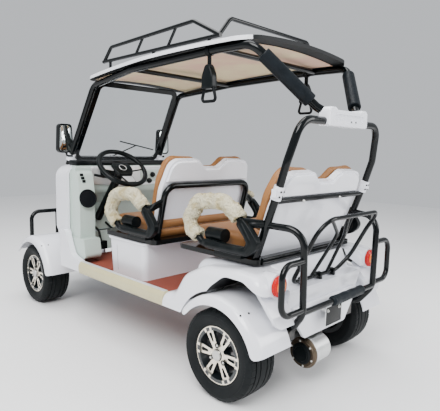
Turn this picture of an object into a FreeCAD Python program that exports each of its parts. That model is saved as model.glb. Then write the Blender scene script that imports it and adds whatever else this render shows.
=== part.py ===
"""Four-seat electric golf cart with cycle fenders, roof rack and rear luggage rack.

Millimetres. X points forward, Y to the driver's left, Z up. The origin lies on the ground,
in the middle of the cart. Lengths along the cart are given from the rear axle.
"""
import FreeCAD, Part
import math
import os

from FreeCAD import Placement, Rotation, Vector

os.makedirs("parts", exist_ok=True)
doc = FreeCAD.newDocument("golf_cart")

# Driving dimensions
DRIVING = [
    ("wheelbase", 2024, "rear axle to front axle"),
    ("drawn_wheelbase", 2024, "wheelbase that the places along the cart are drawn for"),
    ("half_track", 480, "middle of the cart to the middle of a tyre"),
    ("tyre_radius", 230, "205/50-10 tyre"),
    ("tyre_width", 205, "widest point of the side walls"),
    ("bead_radius", 127, "10 inch bead seat"),
    ("flange_radius", 143.5, "edge of the rim"),
    ("rim_width", 168, "over the two flanges"),
    ("rim_wall", 5, "barrel of the rim"),
    ("rim_well", 18, "depth of the drop centre"),
    ("hub_radius", 44, "hub of the rim"),
    ("spoke_depth", 16, "thickness of a spoke"),
    ("spoke_count", 6, "split spokes"),
    ("spoke_root", 15, "half width of a spoke at the hub"),
    ("spoke_tip", 25, "half width of a spoke at the barrel"),
    ("stub_radius", 15, "stub axles the hubs turn on"),
    ("running_gap", 0.05, "radial gap of a turning fit"),
    ("seat_gap", 0.3, "gap between pieces that rest together"),
    ("kingpin_y", 372, "middle of the cart to a kingpin"),
    ("kingpin_radius", 12, "steering pivot"),
    ("fender_radius", 300, "crown of a cycle fender"),
    ("fender_drop", 46, "fall of the fender from crown to outer lip"),
    ("fender_skin", 5, "thickness of a fender"),
    ("fender_outer", 600, "half width over the fenders"),
    ("fender_corner", 26, "rounded lower corners of a fender"),
    ("rear_fender_start", 36, "front end of a rear fender, degrees above the axle"),
    ("rear_fender_sweep", 129, "angle that a rear fender covers"),
    ("front_fender_start", 32, "front end of a front fender, degrees above the axle"),
    ("front_fender_sweep", 140, "angle that a front fender covers"),
    ("floor_height", 410, "top of the floor"),
    ("floor_skin", 10, "thickness of the floor"),
    ("mat_skin", 5, "rubber mat"),
    ("body_half", 560, "half width of the body"),
    ("body_skin", 18, "moulded body wall"),
    ("rail_height", 60, "side rails of the frame"),
    ("rail_width", 40, "side rails of the frame"),
    ("sill_front", 1345, "front end of a sill"),
    ("sill_rear", 431, "rear end of a sill"),
    ("sill_low", 365, "lower edge of a sill"),
    ("sill_high", 445, "upper edge of a sill"),
    ("box_front", 1140, "front of the front seat base"),
    ("box_rear", 745, "back of the front seat base"),
    ("box_high", 650, "top of the front seat base"),
    ("seat_half", 378, "half width of a seat cushion"),
    ("back_half", 382, "half width of a seat back"),
    ("cushion_edge", 30, "rounded edges of a cushion"),
    ("cushion_thick", 105, "thickness of a seat cushion"),
    ("cushion_depth", 428, "front to back of a seat cushion"),
    ("back_thick", 70, "thickness of a back cushion"),
    ("shell_thick", 34, "thickness of a seat back shell"),
    ("shell_band", 12, "raised band across the top of a shell"),
    ("front_back_height", 500, "height of the front seat back, from its tray"),
    ("rear_back_height", 448, "height of the rear seat back, from its tray"),
    ("front_lean", 15, "lean of the front seat back"),
    ("rear_lean", 20, "lean of the rear seat back"),
    ("rear_seat_high", 700, "underside of the rear cushion"),
    ("hoop_radius", 19, "seat and hoop tubes"),
    ("guard_radius", 17, "front and rear guard tubes"),
    ("guard_front", 2440, "front guard, from the rear axle"),
    ("guard_rear", 338, "rear guard, behind the rear axle"),
    ("rack_radius", 11, "luggage rack tubes"),
    ("rack_foot_x", 212, "rack hinge bar, behind the rear axle"),
    ("rack_foot_z", 580, "height of the rack hinge bar"),
    ("rack_reach", 371, "hinge bar to top bar"),
    ("rack_lean", 63.4, "parked slope of the rack"),
    ("rack_half", 256, "half width of the rack"),
    ("pillar_radius", 21, "windshield pillars and roof rails"),
    ("roof_peak", 1752, "highest line of the roof edge"),
    ("roof_front", 1450, "front edge of the roof"),
    ("roof_rear", 62, "rear edge of the roof, behind the rear axle"),
    ("roof_half", 482, "half width of the roof"),
    ("roof_skin", 20, "thickness of the roof"),
    ("glass_base_x", 1697, "lower edge of the glass"),
    ("glass_base_z", 1154, "lower edge of the glass"),
    ("glass_length", 572, "height of the glass along its slope"),
    ("glass_slope", 60, "slope of the windshield"),
    ("glass_low_half", 357, "half width of the glass below"),
    ("glass_top_half", 325, "half width of the glass above"),
    ("wheel_hub_x", 1318, "steering wheel hub"),
    ("wheel_hub_y", 220, "steering wheel hub"),
    ("wheel_hub_z", 1085, "steering wheel hub"),
    ("column_slope", 50, "slope of the steering column"),
    ("steer_radius", 178, "middle of the steering wheel rim"),
    ("steer_grip", 15, "rim of the steering wheel"),
    ("steer_hub", 52, "hub of the steering wheel"),
    ("motor_radius", 78, "drive motor"),
    ("motor_back", 222, "drive motor, behind the rear axle"),
    ("motor_height", 192, "middle of the drive motor"),
    ("battery_length", 310, "battery pack, along the cart"),
    ("battery_height", 200, "battery pack"),
    ("tail_lamp_radius", 50, "tail lamps"),
    ("tail_lamp_y", 438, "middle of the cart to a tail lamp"),
    ("tail_lamp_z", 610, "height of the tail lamps"),
    ("head_lamp_radius", 62, "head lamps"),
    ("head_lamp_y", 150, "middle of the cart to a head lamp"),
    ("head_lamp_z", 700, "height of the head lamps"),
    ("plate_bolt_z", 412, "height of the plate bolts"),
    ("plate_bolt_pitch", 110, "distance between the plate bolts"),
    ("plate_bolt_hole", 3.2, "radius of a plate bolt hole"),
    ("lamp_box_half", 186, "half width of the lamp housing on the hoop"),
    ("wrap_radius", 42, "foam wrap round an armrest"),
    ("cup_radius", 36, "cup holder"),
    ("cup_length", 112, "cup holder"),
]

sheet = doc.addObject("Spreadsheet::Sheet", "Sizes")
for row, (alias, value, note) in enumerate(DRIVING, start=1):
    sheet.set(f"A{row}", note)
    sheet.set(f"B{row}", str(value))
    sheet.setAlias(f"B{row}", alias)
doc.recompute()


def size(alias):
    """Value of a driving dimension."""
    return float(getattr(sheet, alias))


# Derived places
stretch = size("wheelbase") / size("drawn_wheelbase")
box_half = size("body_half") - 110
rack_slope = math.radians(size("rack_lean"))
rack_top_x = -stretch * size("rack_foot_x") - size("rack_reach") * math.cos(rack_slope)
front_end = stretch * size("guard_front") + size("guard_radius")
rear_end = rack_top_x - size("rack_radius")
rear_axle_x = -(front_end + rear_end) / 2
axle_z = size("tyre_radius")
gap = size("seat_gap")

ALONG_X = Vector(1, 0, 0)
ALONG_Y = Vector(0, 1, 0)
ALONG_Z = Vector(0, 0, 1)
nodes = []


def at(x, y, z):
    """Point given from the rear axle line, moved as the wheelbase stretches."""
    return Vector(rear_axle_x + stretch * x, y, z)


def beside(axle_x, x, y, z):
    """Point given from one of the axle lines, which doesn't stretch."""
    return Vector(rear_axle_x + axle_x + x, y, z)


def node(label, shape):
    """Keep a finished shape as a named sub-part."""
    feature = doc.addObject("Part::Feature", label)
    feature.Label = label
    feature.Shape = shape
    nodes.append(feature)
    return feature


# Shape helpers
def mirrored(shape):
    """The same piece on the other side of the cart."""
    return shape.mirror(Vector(0, 0, 0), ALONG_Y)


def both_sides(shape):
    """A piece and its mirror image, as one compound."""
    return Part.makeCompound([shape, mirrored(shape)])


def fused(shapes):
    """One solid from pieces that run into each other."""
    result = shapes[0].multiFuse(shapes[1:]) if len(shapes) > 1 else shapes[0]
    return result.removeSplitter()


def corner(before, point, after, radius, room=0.47):
    """Tangent arc that rounds one corner of a path, as start, middle and end."""
    into = (before - point).normalize()
    out = (after - point).normalize()
    half = into.getAngle(out) / 2
    shorter = min((before - point).Length, (after - point).Length)
    reach = min(radius / math.tan(half), room * shorter)
    rise = reach / math.cos(half) - reach * math.tan(half)
    middle = point + (into + out).normalize() * rise
    return point + into * reach, middle, point + out * reach


def rounded_edges(points, radii, closed):
    """Straight runs joined by tangent arcs."""
    count = len(points)
    arcs = []
    for i in range(count):
        after = (i + 1) % count
        is_end = not closed and i in (0, count - 1)
        if is_end or radii[i] <= 0:
            arcs.append((points[i], None, points[i]))
        else:
            alone = radii[i - 1] <= 0 and radii[after] <= 0
            arcs.append(corner(points[i - 1], points[i], points[after], radii[i], 0.97 if alone else 0.47))
    edges = []
    for i in range(count if closed else count - 1):
        start, end = arcs[i][2], arcs[(i + 1) % count][0]
        if (end - start).Length > 0.01:
            edges.append(Part.LineSegment(start, end).toShape())
        first, middle, last = arcs[(i + 1) % count]
        if middle is not None:
            edges.append(Part.Arc(first, middle, last).toShape())
    return edges


def coped(shape, against):
    """A piece trimmed where it meets the pieces that carry it."""
    for other in against:
        shape = shape.cut(other)
    return shape


def straight_run(start, end, radius):
    return Part.makeCylinder(radius, (end - start).Length, start, end - start)


def bent_run(start, middle, end, radius, heading):
    """Bend of under a half turn: a disc swung about the centre of the bend's own arc."""
    centre = Part.Arc(start, middle, end).toShape().Curve.Center
    disc = Part.Face(Part.Wire(Part.makeCircle(radius, start, heading)))
    swing = (start - centre).cross(end - centre)
    angle = math.degrees((start - centre).getAngle(end - centre))
    return disc.revolve(centre, swing, angle)


def tube(points, radius, bend, closed=False):
    """Bent round bar: straight runs joined by tangent bends, of one radius or of one for each corner."""
    count = len(points)
    inner = range(count) if closed else range(1, count - 1)
    sized = bend if isinstance(bend, list) else [bend] * count
    bends = {i: corner(points[i - 1], points[i], points[(i + 1) % count], sized[i]) for i in inner}
    runs = []
    for i in range(count if closed else count - 1):
        after = (i + 1) % count
        start = bends[i][2] if i in bends else points[i]
        end = bends[after][0] if after in bends else points[after]
        runs.append(straight_run(start, end, radius))
        if after in bends:
            runs.append(bent_run(*bends[after], radius, end - start))
    return runs[0].multiFuse(runs[1:]).removeSplitter()


def ring_tube(points, radius, bend):
    """Bent round bar along a closed loop."""
    return tube(points, radius, bend, True)


def outline(points, radius, closed=True):
    """Closed wire with every corner rounded by the same or by its own radius."""
    radii = radius if isinstance(radius, list) else [radius] * len(points)
    return Part.Wire(rounded_edges(points, radii, closed))


def slab_y(profile, radius, y_from, y_to):
    """Side profile of x, z pairs, extruded across the cart."""
    points = [at(x, y_from, z) for x, z in profile]
    return Part.Face(outline(points, radius)).extrude(Vector(0, y_to - y_from, 0))


def slab_z(profile, radius, z_from, z_to):
    """Plan profile of x, y pairs, extruded upwards."""
    points = [at(x, y, z_from) for x, y in profile]
    return Part.Face(outline(points, radius)).extrude(Vector(0, 0, z_to - z_from))


def block(x_from, x_to, y_from, y_to, z_from, z_to):
    """Square block between two corners."""
    low, high = at(x_from, y_from, z_from), at(x_to, y_to, z_to)
    return Part.makeBox(high.x - low.x, y_to - y_from, z_to - z_from, low)


def rod(start, end, radius):
    """Straight round bar."""
    return Part.makeCylinder(radius, (end - start).Length, start, end - start)


def softened(shape, radius):
    """A piece with all its edges rounded."""
    return shape.makeFillet(radius, shape.Edges)


# Bodies drawn on sketches: every depth and angle is an expression on the driving sheet
def origin_plane(body, role):
    return next(feature for feature in body.Origin.OriginFeatures if feature.Role == role)


def sketch_on(body, name, role, offset=0):
    sketch = body.newObject("Sketcher::SketchObject", name)
    sketch.AttachmentSupport = (origin_plane(body, role), "")
    sketch.MapMode = "FlatFace"
    sketch.AttachmentOffset = Placement(Vector(0, 0, offset), Rotation())
    return sketch


def draw_closed(sketch, points, radii):
    """Closed outline of straight runs and tangent arcs on a sketch."""
    flat = [Vector(u, v, 0) for u, v in points]
    sized = radii if isinstance(radii, list) else [radii] * len(points)
    for edge in rounded_edges(flat, sized, True):
        curve = edge.Curve
        if isinstance(curve, Part.Line):
            start, end = edge.Vertexes[0].Point, edge.Vertexes[-1].Point
            sketch.addGeometry(Part.LineSegment(start, end), False)
        else:
            sketch.addGeometry(Part.ArcOfCircle(curve, edge.FirstParameter, edge.LastParameter), False)


def new_body(label, kept=True):
    body = doc.addObject("PartDesign::Body", label)
    body.Label = label
    if kept:
        nodes.append(body)
    return body


def finish_feature(body, feature):
    body.Tip = feature
    doc.recompute()
    return feature


def turn(body, name, points, radii, angle="360"):
    """Outline of y, radius pairs turned about the body's own Y axis."""
    sketch = sketch_on(body, name + "_outline", "YZ_Plane")
    draw_closed(sketch, points, radii)
    feature = body.newObject("PartDesign::Revolution", name)
    feature.Profile = sketch
    feature.ReferenceAxis = (sketch, ["H_Axis"])
    feature.setExpression("Angle", angle)
    return finish_feature(body, feature)


def pad(body, name, role, outlines, depth, offset=0):
    """Outlines of points and radii, padded by an expression; inner outlines are holes."""
    sketch = sketch_on(body, name + "_outline", role, offset)
    for points, radii in outlines:
        draw_closed(sketch, points, radii)
    feature = body.newObject("PartDesign::Pad", name)
    feature.Profile = sketch
    feature.setExpression("Length", depth)
    return finish_feature(body, feature)


def pocket(body, name, role, outlines, depth, offset=0):
    """Outlines cut into a body towards its middle; stops if nothing was cut."""
    before = body.Shape.Volume
    sketch = sketch_on(body, name + "_outline", role, offset)
    for points, radii in outlines:
        draw_closed(sketch, points, radii)
    feature = body.newObject("PartDesign::Pocket", name)
    feature.Profile = sketch
    feature.Reversed = True
    feature.setExpression("Length", depth)
    finish_feature(body, feature)
    if not body.Shape.Volume < before:
        raise RuntimeError(f"{name} cut nothing")
    return feature


def circular_pattern(body, name, feature, count):
    """Copies of a feature about the body's own Y axis."""
    pattern = body.newObject("PartDesign::PolarPattern", name)
    pattern.Originals = [feature]
    pattern.Axis = (feature.Profile[0], ["N_Axis"])
    pattern.Angle = 360
    pattern.setExpression("Occurrences", count)
    return finish_feature(body, pattern)


def round_edges(body, name, radius, chosen):
    """Fillet on the edges that a test picks."""
    base = body.Tip
    names = [f"Edge{i}" for i, edge in enumerate(base.Shape.Edges, start=1) if chosen(edge)]
    feature = body.newObject("PartDesign::Fillet", name)
    feature.Base = (base, names)
    feature.setExpression("Radius", radius)
    return finish_feature(body, feature)


def mirror_of(source, label=None):
    """The same object on the other side of the cart, kept as a node of its own if it gets a label."""
    copy = doc.addObject("Part::Mirroring", label or source.Name + "_other_side")
    copy.Source = source
    copy.Normal = ALONG_Y
    copy.Base = Vector(0, 0, 0)
    if label:
        copy.Label = label
        nodes.append(copy)
    return copy


def group(label, members):
    """Several objects as one sub-part."""
    compound = doc.addObject("Part::Compound", label)
    compound.Label = label
    compound.Links = members
    doc.recompute()
    nodes.append(compound)
    return compound


# The roof is cambered across and swung along the cart, so both drops are worked out here
ROOF_PEAK_X, ROOF_CAMBER, ROOF_SWING = 200, 36, 11500
ROOF_CHORD = size("roof_half") + 20


def roof_top(x, y):
    """Height of the roof's upper face."""
    camber = ROOF_CAMBER * (1 - (y / ROOF_CHORD) ** 2)
    return size("roof_peak") + camber - (x - ROOF_PEAK_X) ** 2 / (2 * ROOF_SWING)


def roof_under(x, y, below=0):
    """Height of the roof's lower face, or of a line so far below it."""
    return roof_top(x, y) - size("roof_skin") - below


# Wheels
def add_tyre(label, x, side):
    """Low tyre turned about its own axle line."""
    half = size("tyre_width") / 2
    radius = size("tyre_radius")
    bead = size("bead_radius")
    flange = size("flange_radius")
    seat = size("rim_width") / 2 - 2 * size("rim_wall")
    shoulder = 0.8 * half
    widest = (flange + radius) / 2 - 5
    body = new_body(label)
    profile = [
        (-seat, bead), (seat, bead), (seat, flange), (half, widest),
        (half - 4, radius - 16), (shoulder - 6, radius), (-shoulder + 6, radius),
        (-half + 4, radius - 16), (-half, widest), (-seat, flange),
    ]
    turn(body, label + "_turned", profile, [0, 0, 8, 40, 16, 10, 10, 16, 40, 8])
    body.Placement = Placement(beside(x, 0, side * size("half_track"), axle_z), Rotation())
    return body


def add_rim(label, x, side):
    """Alloy rim: drop-centre barrel, hub with a bore, and spokes split by a slot."""
    half = size("rim_width") / 2
    wall = size("rim_wall")
    bead = size("bead_radius") - gap
    well = bead - size("rim_well")
    flange = size("flange_radius") - gap
    face = half - 8
    bore = size("stub_radius") + size("running_gap")
    body = new_body(label)
    barrel = [
        (-half, flange), (-half + wall, flange), (-half + wall, bead), (-38, bead), (-26, well), (16, well),
        (28, bead), (half - wall, bead), (half - wall, flange), (half, flange), (half, bead - wall),
        (28 + wall, bead - wall), (16 + wall, well - wall), (-26 - wall, well - wall), (-38 - wall, bead - wall),
        (-half, bead - wall),
    ]
    turn(body, label + "_barrel", barrel, 0)
    hub = size("hub_radius")
    hub_outline = [
        (face - 50, bore), (face - 50, hub), (face - 2, hub), (face + 2, 30), (face + 8, 26), (face + 8, 0),
        (face - 12, 0), (face - 12, bore),
    ]
    turn(body, label + "_hub", hub_outline, [0, 4, 4, 0, 4, 0, 0, 0])
    root, tip = hub - 14, bead - wall + 1
    root_half, tip_half = size("spoke_root"), size("spoke_tip")
    blade = [(root, -root_half), (tip, -tip_half), (tip, tip_half), (root, root_half)]
    slot = [(66, -5), (112, -11), (112, 11), (66, 5)]
    spoke = pad(body, label + "_spoke", "XZ_Plane", [(blade, 0), (slot, [4, 6, 6, 4])], "Sizes.spoke_depth", -face)
    circular_pattern(body, label + "_spokes", spoke, "Sizes.spoke_count")
    facing = Rotation(ALONG_Z, 0 if side > 0 else 180)
    body.Placement = Placement(beside(x, 0, side * size("half_track"), axle_z), facing)
    return body


for place, wheel_x in (("rear", 0), ("front", size("wheelbase"))):
    for side_name, side in (("left", 1), ("right", -1)):
        add_tyre(f"tyre_{place}_{side_name}", wheel_x, side)
        add_rim(f"rim_{place}_{side_name}", wheel_x, side)


# Cycle fenders
def add_fender(label, axle_x, inner_y, end, kept):
    """Arched skin turned about a left wheel's axle: flat crown, rolled outer lip, rounded lower corners."""
    crown, skin = size("fender_radius"), size("fender_skin")
    outer = size("fender_outer") - size("half_track")
    inner = inner_y - size("half_track")
    lip = crown - size("fender_drop")
    roll = size("fender_drop") - 2
    body = new_body(label, kept)
    outline_points = [
        (inner, crown), (outer, crown), (outer, lip), (outer - skin, lip), (outer - skin, crown - skin),
        (inner, crown - skin),
    ]
    turn(body, label + "_skin", outline_points, [0, roll, 0, 0, roll - skin, 0], f"Sizes.{end}_fender_sweep")

    corner_radius = size("fender_corner")
    nick = [
        (-3, lip + corner_radius), (0, lip + corner_radius), (0, lip), (corner_radius, lip),
        (corner_radius, lip - 8), (-3, lip - 8),
    ]
    sweep = math.radians(size(f"{end}_fender_sweep"))
    other_end = [(math.cos(sweep) * -x + math.sin(sweep) * z, math.sin(sweep) * x + math.cos(sweep) * z)
                 for x, z in nick]
    radii = [0, 0, corner_radius, 0, 0, 0]
    pocket(body, label + "_corners", "XZ_Plane", [(nick, radii), (other_end, radii)], "Sizes.fender_drop", -outer - 1)
    rear_end_angle = size(f"{end}_fender_start") + size(f"{end}_fender_sweep")
    body.Placement = Placement(beside(axle_x, 0, size("half_track"), axle_z), Rotation(ALONG_Y, 90 - rear_end_angle))
    doc.recompute()
    return body


STAY_RADIUS = 7


def fender_stays(x, y, root):
    """Two bent rods from a hub carrier out and up to the inside of the crown."""
    stays = []
    reach = size("fender_radius") - size("fender_skin") / 2
    for degrees in (58, 122):
        angle = math.radians(degrees)
        lean = math.copysign(1, math.cos(angle))
        foot = beside(x, lean * root, y, axle_z)
        knee = beside(x, lean * 70, y, axle_z)
        tip = beside(x, math.cos(angle) * reach, y, axle_z + math.sin(angle) * reach)
        stays.append(tube([foot, knee, tip], STAY_RADIUS, 30))
    return stays


rear_fender = add_fender("rear_fender", 0, 356, "rear", False)
group("rear_fenders", [rear_fender, mirror_of(rear_fender)])
front_fender = add_fender("front_fender_left", size("wheelbase"), 352, "front", True)
mirror_of(front_fender, "front_fender_right")


# Steering knuckles, each with a kingpin, a stub axle and two fender stays
def knuckle():
    pin_radius = size("kingpin_radius")
    y = size("kingpin_y")
    stub_end = size("half_track") + size("rim_width") / 2 - 8 - 16

    def point(across, up):
        return beside(size("wheelbase"), 0, across, axle_z + up)

    boss = rod(point(y, -32), point(y, 32), 21)
    pin = rod(point(y, -58), point(y, 58), pin_radius)
    stub = rod(point(y, 0), point(stub_end, 0), size("stub_radius"))
    return fused([boss, pin, stub] + fender_stays(size("wheelbase"), y - 10, 10))


left_knuckle = coped(knuckle(), [front_fender.Shape])
node("front_knuckle_left", left_knuckle)
node("front_knuckle_right", mirrored(left_knuckle))


# Front axle: beam with a yoke at each kingpin, coil-over legs up to the frame
def front_axle():
    """Beam that stops short of the turning stays, with a narrow fork to each kingpin."""
    y = size("kingpin_y")
    fork_in, fork_out = y - 56, y - 34
    pin_hole = size("kingpin_radius") + size("running_gap")

    def part_of(half, y_from, y_to, z_from, z_to):
        low = beside(size("wheelbase"), -half, min(y_from, y_to), axle_z + z_from)
        return Part.makeBox(2 * half, abs(y_to - y_from), z_to - z_from, low)

    pieces = [part_of(22, -fork_in - 10, fork_in + 10, -20, 20)]
    for side in (-1, 1):
        pieces.append(part_of(14, side * fork_in, side * fork_out, -56, 56))
        for level in (-56, 34):
            pieces.append(part_of(14, side * fork_in, side * y, level, level + 22))
            eye = beside(size("wheelbase"), 0, side * y, axle_z + level)
            pieces.append(rod(eye, eye + ALONG_Z * 22, 20))
    beam = fused(pieces)
    for side in (-1, 1):
        hole_foot = beside(size("wheelbase"), 0, side * y, axle_z - 100)
        beam = beam.cut(rod(hole_foot, hole_foot + ALONG_Z * 200, pin_hole))
    return beam


def coil_over(y, z_low, z_high):
    """Damper leg with spring rings around it."""
    foot = beside(size("wheelbase"), 0, y, z_low)
    pieces = [rod(foot, foot + ALONG_Z * (z_high - z_low), 14)]
    turns = 6
    for turn in range(turns):
        level = (z_high - z_low) * (0.3 + 0.55 * turn / turns)
        pieces.append(rod(foot + ALONG_Z * (level - 5), foot + ALONG_Z * (level + 5), 30))
    return fused(pieces)


RAIL_LOW = size("floor_height") - size("floor_skin") - size("rail_height")
front_axle_solid = front_axle()
coil_left = coil_over(170, axle_z + 19, RAIL_LOW)
node("front_axle", fused([front_axle_solid, coil_left, mirrored(coil_left)]))


# Rear axle with hub stubs, leaf springs and the drive motor behind it
def rear_axle():
    inner = size("half_track") - size("rim_width") / 2
    stub_end = size("half_track") + size("rim_width") / 2 - 8 - 16
    pieces = [
        rod(at(0, -inner + 26, axle_z), at(0, inner - 26, axle_z), 34),
        rod(at(0, -stub_end, axle_z), at(0, stub_end, axle_z), size("stub_radius")),
        Part.makeSphere(92, at(0, -30, axle_z)),
        rod(at(0, -92, axle_z), at(0, 40, axle_z), 78),
        block(-190, 0, -78, -16, axle_z - 66, axle_z + 40),
    ]
    for side in (-1, 1):
        pieces.append(rod(at(0, side * (inner - 42), axle_z), at(0, side * (inner - 26), axle_z), 70))
        stays = fender_stays(0, inner - 34, 20)
        pieces += stays if side > 0 else [mirrored(stay) for stay in stays]
    return fused(pieces)


def leaf_spring(side):
    """Stack of three curved leaves clamped to the axle tube."""
    leaves = []
    for index, half_length in enumerate((236, 180, 120)):
        top = 290 - 9 * index
        sag = 30 * (half_length / 236) ** 2
        points = [at(-half_length, 0, top + sag), at(0, 0, top), at(half_length, 0, top + sag)]
        upper = Part.Arc(*points).toShape()
        lower_points = [p - Vector(0, 0, 9) for p in points]
        lower = Part.Arc(*lower_points).toShape()
        wire = Part.Wire([
            upper,
            Part.LineSegment(points[2], lower_points[2]).toShape(),
            lower,
            Part.LineSegment(lower_points[0], points[0]).toShape(),
        ])
        leaf = Part.Face(wire).extrude(Vector(0, 44, 0))
        leaf.translate(Vector(0, 258, 0))
        leaves.append(leaf)
    leaves.append(block(-30, 30, 258, 302, axle_z, 296))
    shape = fused(leaves)
    return shape if side > 0 else mirrored(shape)


rear_axle_solid = fused([rear_axle(), leaf_spring(1), leaf_spring(-1)])
rear_axle_solid = coped(rear_axle_solid, [doc.getObject("rear_fenders").Shape])
node("rear_axle", rear_axle_solid)


def drive_motor():
    """Turned housing with a flange, an end cap and a bell at the gearbox."""
    radius = size("motor_radius")
    body = new_body("drive_motor")
    profile = [
        (-16, 0), (-16, 58), (4, radius - 4), (118, radius - 4), (118, radius), (126, radius), (126, radius - 8),
        (132, radius - 8), (132, radius + 4), (150, radius + 4), (156, radius - 6), (166, radius - 6), (166, 34),
        (162, 30), (162, 0),
    ]
    turn(body, "motor_housing", profile, [0, 10, 6, 0, 2, 2, 0, 0, 2, 4, 0, 3, 0, 0, 0])
    body.Placement = Placement(beside(0, -size("motor_back"), 0, size("motor_height")), Rotation())


drive_motor()


# Frame: ladder of box tubes, kicked in between the front wheels
def chassis_frame():
    low = RAIL_LOW
    high = low + size("rail_height")
    width = size("rail_width")
    main_y, front_y = 300, 170
    pieces = []
    for side in (-1, 1):
        outer, inner = sorted((side * main_y, side * (main_y - width)))
        pieces.append(block(-240, 1560, outer, inner, low, high))
        outer, inner = sorted((side * (front_y + width / 2), side * (front_y - width / 2)))
        pieces.append(block(1500, 2360, outer, inner, low, high))
        for hanger_x in (-226, 226):
            low_y, high_y = sorted((side * 258, side * 302))
            pieces.append(block(hanger_x - 12, hanger_x + 12, low_y, high_y, 300, low + 4))
    for cross_x in (-240, 440, 1000, 1520):
        pieces.append(block(cross_x, cross_x + width, -main_y, main_y, low, high))
    pieces.append(block(2300, 2340, -front_y, front_y, low, high))
    return fused(pieces)


frame_solid = coped(chassis_frame(), [doc.getObject("rear_axle").Shape])
node("chassis_frame", frame_solid)


# Floor, mat and sills
FLOOR_LOW = size("floor_height") - size("floor_skin")
floor_half = size("body_half") - 30
pod_out = size("body_half") - 62
pod_in = pod_out - 126


def plan_body(label, points, radii, base_z, height):
    """Flat piece: plan outline of x, y pairs padded upwards from a height."""
    body = new_body(label)
    flat = [(at(x, 0, 0).x, y) for x, y in points]
    pad(body, label + "_pad", "XY_Plane", [(flat, radii)], height, base_z)
    return body


plan_body("floor_pan", [(431, -floor_half), (1344, -floor_half), (1344, -pod_out), (1634, -pod_out),
                        (1634, pod_out), (1344, pod_out), (1344, floor_half), (431, floor_half)],
          0, FLOOR_LOW, "Sizes.floor_skin")
mat_half, mat_front = floor_half - 20, pod_in - 7
mat_inner, mat_ends = box_half + 2, (size("box_rear") - 2, size("box_front") + 2)
plan_body("floor_mat", [
    (450, -mat_half), (1330, -mat_half), (1400, -mat_front), (1580, -mat_front), (1580, mat_front), (1400, mat_front),
    (1330, mat_half), (450, mat_half), (450, mat_inner), (mat_ends[1], mat_inner), (mat_ends[1], -mat_inner),
    (450, -mat_inner),
], [20, 20, 20, 20, 20, 20, 20, 20, 0, 0, 0, 0], size("floor_height"), "Sizes.mat_skin")


def left_sill():
    """Rounded cover with a flat tread strip on top."""
    outer, low, high = size("body_half"), size("sill_low"), size("sill_high")
    inner, tread_end = floor_half + 2, floor_half - 14
    section = [
        (inner, low), (outer - 8, low), (outer, low + 22), (outer, high - 22), (outer - 16, high),
        (tread_end, high), (tread_end, size("floor_height")), (inner, size("floor_height")),
    ]
    body = new_body("left_sill", False)
    pad(body, "sill_run", "YZ_Plane", [(section, [0, 6, 14, 18, 10, 4, 0, 0])],
        "(Sizes.sill_front - Sizes.sill_rear) * Sizes.wheelbase / Sizes.drawn_wheelbase")
    body.Placement = Placement(at(size("sill_rear"), 0, 0), Rotation())
    return body


left_sill_body = left_sill()
group("side_sills", [left_sill_body, mirror_of(left_sill_body)])


# Seats
def seat_cushion(label, rear_x, low_z):
    half = size("seat_half")
    rear = at(rear_x, 0, 0).x
    front = rear + size("cushion_depth")
    body = new_body(label)
    pad(body, label + "_pad", "XY_Plane", [([(rear, -half), (front, -half), (front, half), (rear, half)],
                                            [40, 60, 60, 40])], "Sizes.cushion_thick", low_z)
    levels = (low_z, low_z + size("cushion_thick"))
    round_edges(body, label + "_edges", "Sizes.cushion_edge",
                lambda edge: min(abs(edge.CenterOfMass.z - level) for level in levels) < 0.1)


def back_outline(half, low, high):
    """Seat back outline in its own plane: two humps with a notch between them."""
    shoulder = low + 0.62 * (high - low)
    return [
        (-half + 12, low), (half - 12, low), (half, shoulder), (half - 44, high - 4),
        (128, high), (62, high - 54), (-62, high - 54), (-128, high),
        (-half + 44, high - 4), (-half, shoulder),
    ]


BACK_RADII = [34, 34, 200, 80, 50, 44, 44, 50, 80, 200]
FRONT_BAR_X, FRONT_BAR_Z = 640, 1005
REAR_BAR_X, REAR_BAR_Z, REAR_BAR_RADIUS = -200, 992, 14


def along_lean(bar_x, bar_z, lean, z):
    """Where a leaning upright through the bar passes a height."""
    return bar_x + (bar_z - z) * math.tan(math.radians(lean))


def shell_board(outline_points, x_from, x_to):
    """Upright board of a seat back outline between two depths."""
    points = [Vector(x_from, y, z) for y, z in outline_points]
    return Part.Face(outline(points, BACK_RADII)).extrude(Vector(x_to - x_from, 0, 0))


def seat_shell(height, band_low):
    """Moulded back shell with a raised band above the bar it leans on."""
    thick, band = size("shell_thick"), size("shell_band")
    half = size("back_half")
    board = shell_board(back_outline(half, 0, height), 0, thick)
    band_board = shell_board(back_outline(half - 10, 0, height - 8), -band, 1)
    above = Part.makeBox(band + 1, 2 * half, height, Vector(-band, -half, band_low))
    band_board = band_board.common(above)
    foot = [edge for edge in band_board.Edges if abs(edge.CenterOfMass.x + band) < 0.1]
    return fused([board, band_board.makeFillet(band * 0.6, foot)])


def back_cushion(label, height, foot):
    """Padded front of a seat back."""
    start = size("shell_thick") + gap
    low = size("cushion_thick") + 8
    body = new_body(label)
    pad(body, label + "_pad", "YZ_Plane", [(back_outline(size("back_half") - 2, low, height + 4), BACK_RADII)],
        "Sizes.back_thick", start)
    front_face = start + size("back_thick")
    round_edges(body, label + "_edges", "Sizes.cushion_edge",
                lambda edge: abs(edge.CenterOfMass.x - front_face) < 0.1)
    body.Placement = foot
    doc.recompute()


FRONT_TRAY = size("box_high") + 4
front_cushion_low = FRONT_TRAY + 26
rear_cushion_low = size("rear_seat_high") + 4
FRONT_CUSHION_REAR, REAR_CUSHION_REAR = 784, -20

seat_cushion("front_seat_cushion", FRONT_CUSHION_REAR, front_cushion_low + gap)
seat_cushion("rear_seat_cushion", REAR_CUSHION_REAR, rear_cushion_low + gap)

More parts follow.
